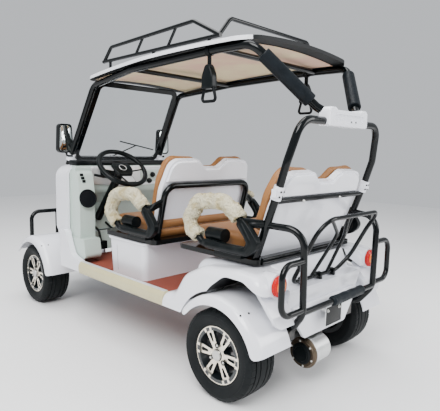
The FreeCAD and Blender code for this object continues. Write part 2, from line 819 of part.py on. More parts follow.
shells = []
for place, bar_x, bar_z, bar_radius, cushion_low in (
        ("front", FRONT_BAR_X, FRONT_BAR_Z, size("hoop_radius"), front_cushion_low),
        ("rear", REAR_BAR_X, REAR_BAR_Z, REAR_BAR_RADIUS, rear_cushion_low)):
    lean, height = size(f"{place}_lean"), size(f"{place}_back_height")
    lean_cos = math.cos(math.radians(lean))
    foot_z = cushion_low + gap
    foot_x = along_lean(bar_x, bar_z, lean, foot_z) + (bar_radius + gap) / lean_cos
    foot = Placement(at(foot_x, 0, foot_z), Rotation(ALONG_Y, -lean))
    shell = seat_shell(height, (bar_z - foot_z) / lean_cos + bar_radius + 6)
    shell.Placement = foot
    shells.append(shell)
    back_cushion(f"{place}_back_cushion", height, foot)
seat_shells = Part.makeCompound(shells)
node("seat_shells", seat_shells)


# Front seat base: drafted hollow box with a lipped top
def front_base():
    half = box_half
    low, high = size("floor_height"), size("box_high")
    draft = 12

    def ring(z, grow):
        points = [
            at(size("box_rear") - grow, -half - grow, z), at(size("box_front") + grow, -half - grow, z),
            at(size("box_front") + grow, half + grow, z), at(size("box_rear") - grow, half + grow, z),
        ]
        return outline(points, 36)

    outer = Part.makeLoft([ring(low, -draft), ring(high, 0)], True, True)
    hollow = Part.makeLoft([ring(low, -draft - size("body_skin")), ring(high - size("body_skin"), -size("body_skin"))],
                           True, True)
    lip = Part.Face(ring(high - 16, 8)).extrude(Vector(0, 0, 16))
    return fused([outer.cut(hollow), softened_rim(lip, high - 16)])


def softened_rim(plate, low):
    """A plate with its lower edges rounded."""
    return plate.makeFillet(6, [edge for edge in plate.Edges if abs(edge.CenterOfMass.z - low) < 0.1])


node("front_seat_base", front_base())
battery = doc.addObject("Part::Box", "battery_pack")
battery.Label = "battery_pack"
battery_half = box_half - 70
battery.setExpression("Length", "Sizes.battery_length * Sizes.wheelbase / Sizes.drawn_wheelbase")
battery.setExpression("Width", "2 * (Sizes.body_half - 180)")
battery.setExpression("Height", "Sizes.battery_height")
battery.Placement = Placement(at(790, -battery_half, size("floor_height") + gap), Rotation())
doc.recompute()
nodes.append(battery)


# Frames under and behind the seats
HOOP_Y, UPRIGHT_Y = 366, 406


def front_seat_frame():
    radius = size("hoop_radius")
    tray = slab_z([(660, -440), (1195, -440), (1195, 440), (660, 440)], 30, FRONT_TRAY - 4 + gap, front_cushion_low)
    low = front_cushion_low - radius - 2
    low_x = along_lean(FRONT_BAR_X, FRONT_BAR_Z, size("front_lean"), low)
    hoop = tube([
        at(low_x + 44, HOOP_Y, low), at(low_x, HOOP_Y, low), at(FRONT_BAR_X, HOOP_Y, FRONT_BAR_Z),
        at(FRONT_BAR_X, -HOOP_Y, FRONT_BAR_Z), at(low_x, -HOOP_Y, low), at(low_x + 44, -HOOP_Y, low),
    ], radius, 70)
    return fused([tray, hoop])


node("front_seat_frame", coped(front_seat_frame(), [doc.getObject("front_seat_base").Shape]))


def upright_x(z):
    """Line of the rear uprights."""
    return along_lean(REAR_BAR_X, REAR_BAR_Z, size("rear_lean"), z)


CLAMP_LOW, CLAMP_HIGH = 1004, 1066


def rear_seat_frame():
    """Tray with two round rails along its rear edge, leaning uprights and the bar between them."""
    radius = size("hoop_radius")
    tray = slab_z([(-130, -440), (440, -440), (440, 440), (-130, 440)], 30, size("rear_seat_high") - 22, rear_cushion_low)
    pieces = [tray]
    for level in (size("rear_seat_high") - 14, size("rear_seat_high") + 4):
        pieces.append(rod(at(-132, -400, level), at(-132, 400, level), 8))
    for side in (-1, 1):
        y = side * UPRIGHT_Y
        pieces.append(rod(at(upright_x(690), y, 690), at(upright_x(CLAMP_LOW + 20), y, CLAMP_LOW + 20), radius))
    pieces.append(rod(at(REAR_BAR_X, -UPRIGHT_Y, REAR_BAR_Z), at(REAR_BAR_X, UPRIGHT_Y, REAR_BAR_Z), REAR_BAR_RADIUS))
    return fused(pieces)


rear_seat_frame_solid = rear_seat_frame()


# Tail lamps: a domed lens in a shallow bezel
def tail_lamp():
    radius = size("tail_lamp_radius")
    body = new_body("left_tail_lamp", False)
    profile = [(-22, 0), (-22, radius), (14, radius), (14, radius - 6), (24, radius - 20), (28, 0)]
    turn(body, "left_lens", profile, [0, 0, 3, 3, 20, 0])
    place = at(-262, size("tail_lamp_y"), size("tail_lamp_z"))
    body.Placement = Placement(place, Rotation(ALONG_Z, 90))
    doc.recompute()
    return body


left_lamp = tail_lamp()
tail_lamps = group("tail_lamps", [left_lamp, mirror_of(left_lamp)]).Shape


# Rear body: a hollow middle under the seat, and on each side a flare that rolls over the arch to the lamp
def flare():
    """Shoulder over the left rear wheel, its outer rim rolled by a large radius."""
    inner, outer = 400, size("body_half")
    profile = [
        (430, 372), (430, 441), (352, 462), (276, 578), (140, 646), (-90, 668), (-262, 660), (-262, 400), (190, 400),
        (190, 372),
    ]
    shoulder = slab_y(profile, [0, 0, 90, 130, 220, 300, 80, 0, 0, 0], inner, outer)
    rim = [edge for edge in shoulder.Edges if abs(edge.CenterOfMass.y - outer) < 1 and edge.CenterOfMass.z > 500]
    return shoulder.makeFillet(52, rim)


def lamp_pod():
    """Round end of a flare, which holds the lamp."""
    radius = size("tail_lamp_radius") + 8
    y, z = size("tail_lamp_y"), size("tail_lamp_z")
    barrel = rod(at(-262, y, z), at(-190, y, z), radius)
    nose = Part.makeCone(radius, radius - 26, 90, at(-190, y, z), ALONG_X)
    return fused([barrel, nose])


def quarter_flap():
    """Bumper corner behind the rear wheel, a slanting plate with a rounded lower corner."""
    plate = slab_y([(-196, 590), (-236, 552), (-296, 478), (-312, 424), (-297, 420), (-281, 470), (-222, 540),
                    (-184, 580)], [0, 30, 60, 0, 0, 60, 30, 0], 370, 514)
    keep = Part.Face(outline([at(-400, 360, 640), at(-400, 514, 640), at(-400, 514, 420), at(-400, 360, 420)],
                             [0, 0, 70, 0])).extrude(Vector(300, 0, 0))
    return plate.common(keep)


def rear_body():
    half, middle_half = size("body_half"), 452
    profile = [
        (420, 380), (420, 440), (330, 470), (262, 650), (120, 666), (-90, 668),
        (-238, 650), (-262, 560), (-240, 470), (-240, 436), (150, 400), (190, 380),
    ]
    middle = slab_y(profile, [4, 20, 60, 90, 200, 120, 70, 60, 40, 4, 4, 4], -middle_half, middle_half)
    rim = [edge for edge in middle.Edges if abs(abs(edge.CenterOfMass.y) - middle_half) < 1
           and edge.CenterOfMass.z > 500]
    middle = middle.makeFillet(34, rim)
    left_flare = flare()
    body = fused([middle, left_flare, mirrored(left_flare)])
    arch = [(136, 300), (136, 470), (62, 560), (-30, 630), (-150, 628), (-262, 572), (-320, 560), (-320, 300)]
    past = half + 60
    arch_cut = slab_y(arch, [0, 60, 200, 80, 80, 200, 0, 0], 340, past)
    wheel_room = Part.makeCylinder(size("fender_radius") + 14, past - 340, at(0, 340, axle_z), ALONG_Y)
    arch_cut = arch_cut.fuse(wheel_room)
    hollow = slab_y([(400, 300), (400, 455), (310, 470), (245, 640), (-90, 650), (-110, 620), (-222, 520), (-222, 300)],
                    [0, 20, 20, 20, 20, 20, 20, 0], -329, 329)
    sole = block(380, 440, -329, 329, 300, FLOOR_LOW + gap)
    tail = slab_y([(-124, 720), (-124, 672), (-176, 560), (-330, 560), (-330, 720)], [0, 20, 16, 0, 0], -346, 346)
    tail_edges = [edge for edge in tail.Edges if abs(abs(edge.CenterOfMass.y) - 346) < 1
                  and edge.CenterOfMass.z < 700 and edge.CenterOfMass.x < at(-140, 0, 0).x]
    tail = tail.makeFillet(24, tail_edges)
    body = coped(body, [arch_cut, mirrored(arch_cut), hollow, sole, tail])
    pod, flap = lamp_pod(), quarter_flap()
    return fused([body, pod, mirrored(pod), flap, mirrored(flap)])


node("rear_body", coped(rear_body(), [tail_lamps]))


def rear_valance():
    """Tapered tail skirt with two bolt holes for a plate."""
    high, low = 470 - gap, 290
    front = at(-240, 0, 0).x - gap
    rear = front - 14
    outline_points = [
        Vector(rear, -296, high), Vector(rear, 296, high), Vector(rear, 290, 408), Vector(rear, 196, low),
        Vector(rear, -196, low), Vector(rear, -290, 408),
    ]
    skirt = Part.Face(outline(outline_points, [0, 0, 40, 24, 24, 40])).extrude(Vector(front - rear, 0, 0))
    pitch, hole, z = size("plate_bolt_pitch"), size("plate_bolt_hole"), size("plate_bolt_z")
    plate_bolts = [rod(at(-240, y, z), at(-280, y, z), hole) for y in (-pitch / 2, pitch / 2)]
    return coped(skirt, plate_bolts)


node("rear_valance", rear_valance())


# Front body: cowl lofted through rounded sections, hollow towards the cab
def cowl_section(x, half, low, high, radius):
    points = [at(x, -half, low), at(x, half, low), at(x, half, high), at(x, -half, high)]
    return outline(points, radius)


COWL = [
    (1560, 0.932, 566, 1112), (1740, 0.920, 566, 1092), (1830, 0.807, 566, 1046), (1930, 0.661, 566, 985),
    (2120, 0.509, 566, 890), (2300, 0.420, 580, 800),
]


def cowl(inset, first, last):
    """Cowl between two of its sections, or the space inside its wall."""
    wires = []
    for x, share, low, high in COWL[first:last]:
        half = share * size("body_half")
        wires.append(cowl_section(x, half - inset, low + inset, high - inset, 90 - inset))
    return Part.makeLoft(wires, True, True)


def front_body():
    outer = cowl(0, 0, 6)
    hollow = cowl(size("body_skin"), 0, 3)
    leg = slab_y([(1345, 368), (1345, 440), (1470, 470), (1560, 640), (1630, 640), (1630, 368)], [4, 4, 60, 40, 4, 10],
                 size("body_half") - 56, size("body_half") - 15)
    footwell = block(1540, 1720, -pod_out - 1, pod_out + 1, 560, 600)
    nose = block(1635, 2300, -184, 184, 402, 580)
    nose_hollow = block(1600, 2270, -168, 168, 390, 562)
    slots = [block(2260, 2310, -140, 140, low, low + 14) for low in (430, 462, 494, 526)]
    return fused([coped(outer, [hollow, footwell]), coped(nose, [nose_hollow] + slots), leg, mirrored(leg)])


def headlamp():
    """Round lamp: a rim with a domed lens inside it."""
    radius = size("head_lamp_radius")
    body = new_body("left_headlamp", False)
    profile = [(0, 0), (0, radius), (70, radius), (82, radius - 8), (78, radius - 12), (94, radius - 40), (98, 0)]
    turn(body, "left_head_lens", profile, [0, 0, 4, 3, 2, 40, 0])
    place = at(2236, size("head_lamp_y"), size("head_lamp_z"))
    body.Placement = Placement(place, Rotation(ALONG_Z, -90))
    doc.recompute()
    return body


left_headlamp = headlamp()
headlamps = group("headlamps", [left_headlamp, mirror_of(left_headlamp)]).Shape


# Dash with a pod down each side of the footwell
def dash_panel():
    middle = slab_y([(1500, 1092), (1560, 1118), (1640, 1100), (1700, 1052), (1700, 592), (1662, 592), (1640, 800),
                     (1520, 900)], [20, 10, 10, 10, 4, 4, 60, 60], -pod_out + 13, pod_out - 13)
    pod = slab_y([(1350, 448), (1470, 1060), (1560, 1060), (1620, 600), (1620, 448)], [30, 60, 10, 10, 4],
                 pod_in, pod_out)
    board = slab_y([(1620, 448), (1590, 448), (1650, 640), (1690, 640)], 0, -pod_in, pod_in)
    room = cowl(size("body_skin") + gap, 0, 3)
    shelf = block(1440, 1560, -pod_out + 8, pod_out - 8, 584, 1094)
    upper = fused([middle, pod, mirrored(pod)]).common(room.fuse(shelf))
    lower = fused([pod, mirrored(pod), board]).common(block(1300, 1634, -pod_out, pod_out, 440, 586))
    return fused([upper, lower])


node("dash_panel", dash_panel())


# Windshield in its own sloping plane
slope = math.radians(size("glass_slope"))
GLASS_UP = Vector(-math.cos(slope), 0, math.sin(slope))
GLASS_OUT = Vector(math.sin(slope), 0, math.cos(slope))


def on_glass(u, v, w):
    """Point at u across, v up the slope and w out of the glass."""
    base = at(size("glass_base_x"), 0, size("glass_base_z"))
    return base + ALONG_Y * u + GLASS_UP * v + GLASS_OUT * w


def glass_slab(grow, thick, w):
    low, top, length = size("glass_low_half"), size("glass_top_half"), size("glass_length")
    points = [on_glass(-low - grow, -grow, w), on_glass(low + grow, -grow, w),
              on_glass(top + grow, length + grow, w), on_glass(-top - grow, length + grow, w)]
    return Part.Face(outline(points, 34 + grow / 2)).extrude(GLASS_OUT * thick)


FRAME_WIDTH, FRAME_DEPTH = 34, 16
node("windshield_glass", glass_slab(-gap, 5, 4))


def windshield_frame():
    """Rounded frame with the wiper at rest along its foot."""
    frame = glass_slab(FRAME_WIDTH, FRAME_DEPTH, 0).cut(glass_slab(0, 40, -10))
    boss = rod(on_glass(60, -18, 10), on_glass(60, -18, 32), 13)
    arm = rod(on_glass(60, -18, 26), on_glass(-150, 96, 26), 5)
    blade = rod(on_glass(-330, 60, 22), on_glass(20, 130, 22), 5)
    return fused([frame, boss, arm, blade])


node("windshield_frame", windshield_frame())


def beside_frame(v, clearance):
    """Distance across from the middle to a line that runs so far outside the windshield frame."""
    low, top, length = size("glass_low_half"), size("glass_top_half"), size("glass_length")
    share = (v + FRAME_WIDTH) / (length + 2 * FRAME_WIDTH)
    return low + FRAME_WIDTH + (top - low) * share + clearance


# Roof frame: pillars, rails, cross bars, rear struts and rear hoop
RAIL_Y = 430
RAIL_STATIONS = (160, 900)
STRUT = [(-58, RAIL_Y, roof_under(-58, RAIL_Y, size("pillar_radius") + gap)), (-262, 186, 1436), (-304, 140, 1405)]


def roof_frame():
    radius = size("pillar_radius")
    rail_y = RAIL_Y
    sides = []

    def rail_z(x):
        return roof_under(x, rail_y, radius + gap)

    for side in (-1, 1):
        beside = radius + gap
        middle = FRAME_DEPTH / 2
        low = on_glass(side * beside_frame(-30, beside), -30, middle)
        bend_v = size("glass_length") - 6
        top = on_glass(side * beside_frame(bend_v, beside), bend_v, middle)
        base = on_glass(side * beside_frame(-70, beside), -70, middle)
        sides.append(tube([
            low, top, at(900, side * rail_y, rail_z(900)), at(160, side * rail_y, rail_z(160)),
            *[at(x, side * y, z) for x, y, z in STRUT],
        ], radius, 90))
        sides.append(rod(base, low, radius))
    bars = [
        rod(at(900, -rail_y, rail_z(900)), at(900, rail_y, rail_z(900)), 15),
        rod(at(160, -rail_y, rail_z(160)), at(160, rail_y, rail_z(160)), 15),
    ]
    hoop = tube([
        at(upright_x(1050), UPRIGHT_Y, 1050), at(-262, UPRIGHT_Y, 1180), at(-302, 360, 1372), at(-302, -360, 1372),
        at(-262, -UPRIGHT_Y, 1180), at(upright_x(1050), -UPRIGHT_Y, 1050),
    ], size("hoop_radius"), 90)
    return fused(sides + bars + [hoop])


roof_frame_solid = roof_frame()
node("roof_frame", roof_frame_solid)
node("front_body", coped(front_body(), [headlamps, roof_frame_solid]))


def lamp_box():
    """Moulded housing on the rear hoop: raised shoulders and a long slot in its rear face."""
    half, low, high, thick = size("lamp_box_half"), 1349, 1440, 58
    rear = -334
    face = [(-half, low), (half, low), (half, high), (half - 60, high), (half - 84, high - 12),
            (84 - half, high - 12), (60 - half, high), (-half, high)]
    points = [at(rear, y, z) for y, z in face]
    box = Part.Face(outline(points, [14, 14, 24, 16, 16, 16, 16, 24])).extrude(Vector(thick, 0, 0))
    rear_rim = [edge for edge in box.Edges if abs(edge.CenterOfMass.x - points[0].x) < 0.1]
    slot = block(rear - 10, rear + 5, 50 - half, half - 50, low + 30, low + 58)
    return box.makeFillet(7, rear_rim).cut(slot)


node("lamp_box", coped(lamp_box(), [roof_frame_solid]))


# Grips: padded sleeves on the rear struts and two handles that hang from the rails
def strut_sleeve():
    top, foot = at(*STRUT[0]), at(*STRUT[1])
    run = foot - top
    sleeve = rod(top + run * 0.16, top + run * 0.9, size("pillar_radius") + 14)
    ends = [edge for edge in sleeve.Edges if edge.Closed]
    return sleeve.makeFillet(6, ends).cut(rod(top, foot, size("pillar_radius") + gap))


def hanging_grip():
    """Strap round the rail, a moulded block and a three-cornered ring."""
    x, rail_radius = 226, size("pillar_radius")
    rail_heights = [roof_under(place, RAIL_Y, rail_radius + gap) for place in RAIL_STATIONS]
    share = (x - RAIL_STATIONS[0]) / (RAIL_STATIONS[1] - RAIL_STATIONS[0])
    rail = rail_heights[0] + share * (rail_heights[1] - rail_heights[0])
    run = at(RAIL_STATIONS[1], RAIL_Y, rail_heights[1]) - at(RAIL_STATIONS[0], RAIL_Y, rail_heights[0])
    run.normalize()
    middle = at(x, RAIL_Y, rail)
    collar = rod(middle - run * 13, middle + run * 13, rail_radius + 4)
    strap = block(x - 13, x + 13, RAIL_Y - 2, RAIL_Y + 2, 1645, rail)
    strap = fused([collar, strap]).cut(rod(middle - run * 20, middle + run * 20, rail_radius + gap))
    head = softened(block(x - 20, x + 20, RAIL_Y - 12, RAIL_Y + 12, 1612, 1652), 6)
    ring = ring_tube([at(x, RAIL_Y, 1656), at(x - 52, RAIL_Y, 1470), at(x + 52, RAIL_Y, 1470)], 8, 16)
    return fused([strap, head, ring])


# Clamps: split sleeves that join the roof frame to the seat frame and the pillars to the cowl
def rear_clamp():
    radius = size("hoop_radius")
    foot, top = at(upright_x(CLAMP_LOW), UPRIGHT_Y, CLAMP_LOW), at(upright_x(CLAMP_HIGH), UPRIGHT_Y, CLAMP_HIGH)
    sleeve = rod(foot, top, radius + 7)
    lug = block(upright_x(1050) - 12, upright_x(1050) + 12, UPRIGHT_Y + radius, UPRIGHT_Y + radius + 18, 1016, 1054)
    run = (top - foot) * 0.2
    return fused([sleeve, lug]).cut(rod(foot - run, top + run, radius + gap))


def front_clamp():
    radius, middle = size("pillar_radius"), FRAME_DEPTH / 2
    low_v, high_v = -30, 22
    foot, top = [on_glass(beside_frame(v, radius + gap), v, middle) for v in (low_v, high_v)]
    run = (top - foot) * 0.3
    return rod(foot, top, radius + 8).cut(rod(foot - run, top + run, radius + gap))


# Roof panel: cambered section swung about a far axis, trimmed to a rounded plan
def roof_panel():
    half, skin = ROOF_CHORD, size("roof_skin")
    peak_x, low = ROOF_PEAK_X, size("roof_peak")
    camber, swing = ROOF_CAMBER, ROOF_SWING
    top = Part.Arc(at(peak_x, -half, low), at(peak_x, 0, low + camber), at(peak_x, half, low)).toShape()
    under = Part.Arc(at(peak_x, half, low - skin), at(peak_x, 0, low + camber - skin),
                     at(peak_x, -half, low - skin)).toShape()
    right = Part.LineSegment(at(peak_x, half, low), at(peak_x, half, low - skin)).toShape()
    left = Part.LineSegment(at(peak_x, -half, low - skin), at(peak_x, -half, low)).toShape()
    face = Part.Face(Part.Wire([top, right, under, left]))
    pivot = at(peak_x, 0, low - swing)
    face.rotate(pivot, ALONG_Y, -2)
    sheet_solid = face.revolve(pivot, ALONG_Y, 9)
    plan = slab_z([(-size("roof_rear"), -size("roof_half") + 14), (700, -size("roof_half") - 6),
                   (size("roof_front"), -size("roof_half") + 40), (size("roof_front"), size("roof_half") - 40),
                   (700, size("roof_half") + 6), (-size("roof_rear"), size("roof_half") - 14)],
                  [110, 2000, 130, 130, 2000, 110], 1500, 1900)
    return sheet_solid.common(plan)


roof_panel_solid = roof_panel()
node("roof_panel", roof_panel_solid)


# Roof rack: a railed frame on each side and a hoop across the back
def roof_rack():
    radius = 11
    sides = []
    for side in (-1, 1):
        y = side * 420
        sides.append(tube([
            at(1226, y, 1776), at(1140, y, 1862), at(360, y, 1890), at(166, y, 1792),
        ], radius, 40))
        sides.append(rod(at(1232, y, 1780), at(160, y, 1790), radius))
        for base_x, top_x, top_z in ((876, 801, 1873), (578, 500, 1884)):
            sides.append(rod(at(base_x, y, 1780), at(top_x, y, top_z), radius - 3))
        for foot_x in (1150, 700, 240):
            sides.append(rod(at(foot_x, y, roof_top(foot_x, y) + gap), at(foot_x, y, 1784), 9))
    hoop = tube([
        at(172, 420, 1790), at(172, 340, 1886), at(172, -340, 1886), at(172, -420, 1790),
    ], radius, 40)
    return fused(sides + [hoop])


node("roof_rack", coped(roof_rack(), [roof_panel_solid]))


# Guards
def front_guard():
    radius = size("guard_radius")
    x = size("guard_front")
    loop = ring_tube([at(x, 400, 390), at(x, 400, 660), at(x, -400, 660), at(x, -400, 390)], radius, 70)
    posts = [rod(at(x, side * 170, 390), at(x, side * 170, 660), 13) for side in (-1, 1)]
    mounts = [rod(at(x, side * 170, 390), at(2350, side * 170, 372), 16) for side in (-1, 1)]
    return fused([loop] + posts + mounts)


node("front_guard", coped(front_guard(), [frame_solid]))


def rear_guard():
    radius = size("guard_radius")
    x = -size("guard_rear")
    pieces = []
    for side in (-1, 1):
        pieces.append(tube([
            at(upright_x(878), side * UPRIGHT_Y, 878), at(x, side * 356, 868), at(x, side * 344, 470),
            at(-262, side * 322, 372),
            at(-200, side * 300, 372),
        ], radius, 90))
        pieces.append(tube([
            at(x, side * 352, 728), at(x, side * 514, 728), at(x, side * 514, 494), at(x, side * 346, 494),
        ], radius - 2, 62))
    pieces.append(rod(at(x, -344, 480), at(x, 344, 480), radius - 2))
    return fused(pieces)


seat_frame_solid = coped(rear_seat_frame_solid, [roof_frame_solid, seat_shells])
node("rear_seat_frame", seat_frame_solid)
node("rear_guard", coped(rear_guard(), [frame_solid, seat_frame_solid]))


# Luggage rack that folds down about its foot bar
RACK_LOOP = [(264, 0), (268, 1), (-285, 1), (-247, 0.71), (-233, 0.23), (-154, 0)]
RACK_BENDS = [40, 110, 46, 160, 120, 60]
RACK_BARS = [[(100, 0), (54, 0.72), (193, 1)], [(-53, 0), (-28, 0.66), (37, 1)]]


def rear_rack():
    """Bent loop with two cranked bars, a foot bar to turn on and a holed gusset in one corner."""
    radius, reach = size("rack_radius"), size("rack_reach")
    up = Vector(-math.cos(rack_slope), 0, math.sin(rack_slope))
    foot = at(-size("rack_foot_x"), 0, size("rack_foot_z"))
    facing = ALONG_Y.cross(up)

    def on_rack(across, share):
        return foot + ALONG_Y * across + up * (share * reach)

    loop = ring_tube([on_rack(*place) for place in RACK_LOOP], radius, RACK_BENDS)
    bars = [tube([on_rack(*place) for place in bar], radius - 2, 60) for bar in RACK_BARS]
    corner_points = [on_rack(-280, 0.985), on_rack(-206, 0.985), on_rack(-258, 0.79)]
    gusset = Part.Face(outline([point - facing * 2 for point in corner_points], 5)).extrude(facing * 4)
    eye = on_rack(-250, 0.93)
    return fused([loop, gusset.cut(rod(eye - facing * 5, eye + facing * 5, 8))] + bars)


node("rear_rack", rear_rack())


def rack_brackets():
    """Hinge lugs on the tail deck that the foot bar turns in."""
    x, z = -size("rack_foot_x"), size("rack_foot_z")
    bore = size("rack_radius") + size("running_gap")
    lugs = []
    for y in (-105, 24, 178):
        lug = block(x - 20, x + 20, y - 8, y + 8, 560 + gap, z).fuse(rod(at(x, y - 8, z), at(x, y + 8, z), 20))
        lugs.append(lug.cut(rod(at(x, y - 20, z), at(x, y + 20, z), bore)))
    return Part.makeCompound(lugs)


node("rack_brackets", rack_brackets())


# Steering column, wheel and pedals
column_slope = math.radians(size("column_slope"))
COLUMN_DOWN = Vector(math.cos(column_slope), 0, -math.sin(column_slope))
STEER_LEVEL = 90
hub_point = at(size("wheel_hub_x"), size("wheel_hub_y"), size("wheel_hub_z"))


def steering_wheel():
    """Padded rim, a block hub and three broad spokes, turned about the column."""
    radius, grip, hub_half = size("steer_radius"), size("steer_grip"), size("steer_hub")
    rim = Part.makeTorus(radius, grip)
    hub = softened(Part.makeBox(2 * hub_half, 1.7 * hub_half, 34, Vector(-hub_half, -0.85 * hub_half, -40)), 12)
    spoke = Part.Face(outline([Vector(hub_half - 12, -24, -30), Vector(hub_half - 12, 24, -30),
                               Vector(radius - 2, 15, -8), Vector(radius - 2, -15, -8)], 0))
    spoke = spoke.extrude(Vector(0, 0, 13))
    pieces = [rim, hub, Part.makeCylinder(18, 40, Vector(0, 0, -70), ALONG_Z)]
    for degrees in (0, 180, 270):
        turned = spoke.copy()
        turned.rotate(Vector(0, 0, 0), ALONG_Z, degrees)
        pieces.append(turned)
    wheel = fused(pieces)
    facing = Rotation(ALONG_Z, COLUMN_DOWN * -1)
    wheel.Placement = Placement(hub_point, Rotation(COLUMN_DOWN * -1, STEER_LEVEL) * facing)
    return wheel


node("steering_wheel", steering_wheel())


def column_and_pedals():
    start = hub_point + COLUMN_DOWN * (70 + gap)
    column = rod(start, hub_point + COLUMN_DOWN * 520, 30)
    pieces = [column]
    for y in (150, 270):
        pieces.append(tube([at(1672, y, 648), at(1560, y, 600), at(1520, y, 500)], 9, 30))
        pieces.append(block(1500, 1530, y - 34, y + 34, 470, 530))
    return Part.makeCompound([pieces[0], fused(pieces[1:3]), fused(pieces[3:])])


node("column_and_pedals", coped(column_and_pedals(), [doc.getObject("dash_panel").Shape]))


# Mirrors on the windshield pillars
def mirror():
    """Housing wider at its foot, rounded towards the front, on a bent arm."""
    face = [at(1700, y, z) for y, z in ((391, 1181), (514, 1181), (506, 1392), (404, 1392))]
    head = Part.Face(outline(face, [30, 30, 26, 26])).extrude(Vector(52, 0, 0))
    head = head.makeFillet(20, [edge for edge in head.Edges if abs(edge.CenterOfMass.x - face[0].x - 52) < 0.1])
    arm = tube([at(1660, 425, 1160), at(1706, 440, 1160), at(1726, 452, 1230)], 8, 15)
    return fused([head, arm])


node("mirrors", coped(both_sides(mirror()), [roof_frame_solid]))


# Armrests: bent loops with a moulded foot, a cup holder and a strap to the seat frame
REST_LOOP = [(200, 745), (318, 842), (245, 960), (60, 975), (-38, 915), (-128, 792), (-105, 748)]
REST_BENDS = [50, 50, 60, 60, 60, 30, 30]
REST_Y = size("seat_half") + 98
FRONT_REST = (760, -24)


def between(first, second, share):
    return tuple(a + (b - a) * share for a, b in zip(first, second))


def rest_path(points, shift):
    return [at(x + shift[0], REST_Y, z + shift[1]) for x, z in points]


def armrest(shift, post, tray_high):
    """Loop, moulding round its lower and rear runs, cup holder on a bracket and the strap."""
    radius, step_x, step_z = 18, shift[0], shift[1]
    loop = ring_tube(rest_path(REST_LOOP, shift), radius, REST_BENDS)
    corner_start = between(REST_LOOP[4], REST_LOOP[5], 0.3)
    lower = [corner_start, REST_LOOP[5], REST_LOOP[6], between(REST_LOOP[6], REST_LOOP[0], 0.9)]
    moulding = tube(rest_path(lower, shift), radius + 5, [0, 30, 30, 0])
    cup_radius, cup_y, cup_z = size("cup_radius"), REST_Y - 36, 795 + step_z
    cup_end = at(78 + step_x, cup_y, cup_z)
    cup = Part.makeCylinder(cup_radius, size("cup_length"), cup_end, ALONG_X)
    room = Part.makeCylinder(cup_radius - 4, size("cup_length"), cup_end + ALONG_X * 5, ALONG_X)
    bracket = block(108 + step_x, 144 + step_x, cup_y - 6, REST_Y, 745 + step_z, 768 + step_z)
    foot = block(-60 + step_x, 120 + step_x, 424, REST_Y, tray_high + gap, 752 + step_z)
    start = at(-74 + step_x, REST_Y - 6, 866 + step_z)
    strap = tube([start, start + (post - start) * 0.5 + Vector(0, 14, 10), post], 12, 30)
    return fused([loop, moulding, bracket.cut(room), cup.cut(room), foot, strap])


def foam_wrap(shift):
    """Foam sleeve round the front and upper run of a loop."""
    core = [between(REST_LOOP[0], REST_LOOP[1], 0.3)] + REST_LOOP[1:5] + [between(REST_LOOP[4], REST_LOOP[5], 0.12)]
    bends = [0] + REST_BENDS[1:5] + [0]
    run = rest_path(core, shift)
    return tube(run, size("wrap_radius"), bends).cut(tube(run, 18 + gap, bends))


grips = Part.makeCompound([strut_sleeve(), hanging_grip()])
node("hand_grips", both_sides(coped(grips, [roof_panel_solid])))

front_post = at(along_lean(FRONT_BAR_X, FRONT_BAR_Z, size("front_lean"), 924), HOOP_Y, 924)
rear_post = at(upright_x(878), UPRIGHT_Y, 878)
rests = [armrest(FRONT_REST, front_post, size("box_high") + 30), armrest((0, 0), rear_post, size("rear_seat_high") + 4)]
rests = coped(Part.makeCompound(rests), [doc.getObject("front_seat_frame").Shape, seat_frame_solid])
node("armrests", both_sides(rests))
node("armrest_wraps", both_sides(Part.makeCompound([foam_wrap(FRONT_REST), foam_wrap((0, 0))])))

clamps = coped(Part.makeCompound([rear_clamp(), front_clamp()]),
               [doc.getObject(name).Shape for name in ("windshield_frame", "front_body", "mirrors")])
clamps = coped(clamps, [roof_frame_solid, seat_frame_solid])
node("pillar_clamps", both_sides(clamps))


def check_and_write():
    """Stop on any failed object, then write every sub-part."""
    doc.recompute()
    for item in doc.Objects:
        if {"Invalid", "Error"} & set(item.State):
            raise RuntimeError(f"{item.Label} failed: {item.State}")
    for item in nodes:
        if item.Shape.isNull() or not item.Shape.isValid():
            raise RuntimeError(f"{item.Label} has no valid shape")
        box = item.Shape.BoundBox
        print(f"{item.Label:22s} solids {len(item.Shape.Solids)} volume {item.Shape.Volume / 1e6:9.3f} l"
              f"  x {box.XMin:6.0f} {box.XMax:6.0f}  y {box.YMin:5.0f} {box.YMax:5.0f}  z {box.ZMin:5.0f} {box.ZMax:5.0f}")
        item.Shape.exportStep(f"parts/{item.Label}.step")


check_and_write()
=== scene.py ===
# %% [markdown]
# # A four-seat golf cart, dressed for its portrait
# This lesson adds the looks: paint, rubber and vinyl, the tread of the tyres, stuffed cushions, and the
# small things that the eye expects.

# %% Load the frame
import math

import bmesh
import bpy
from mathutils import Matrix, Vector, noise


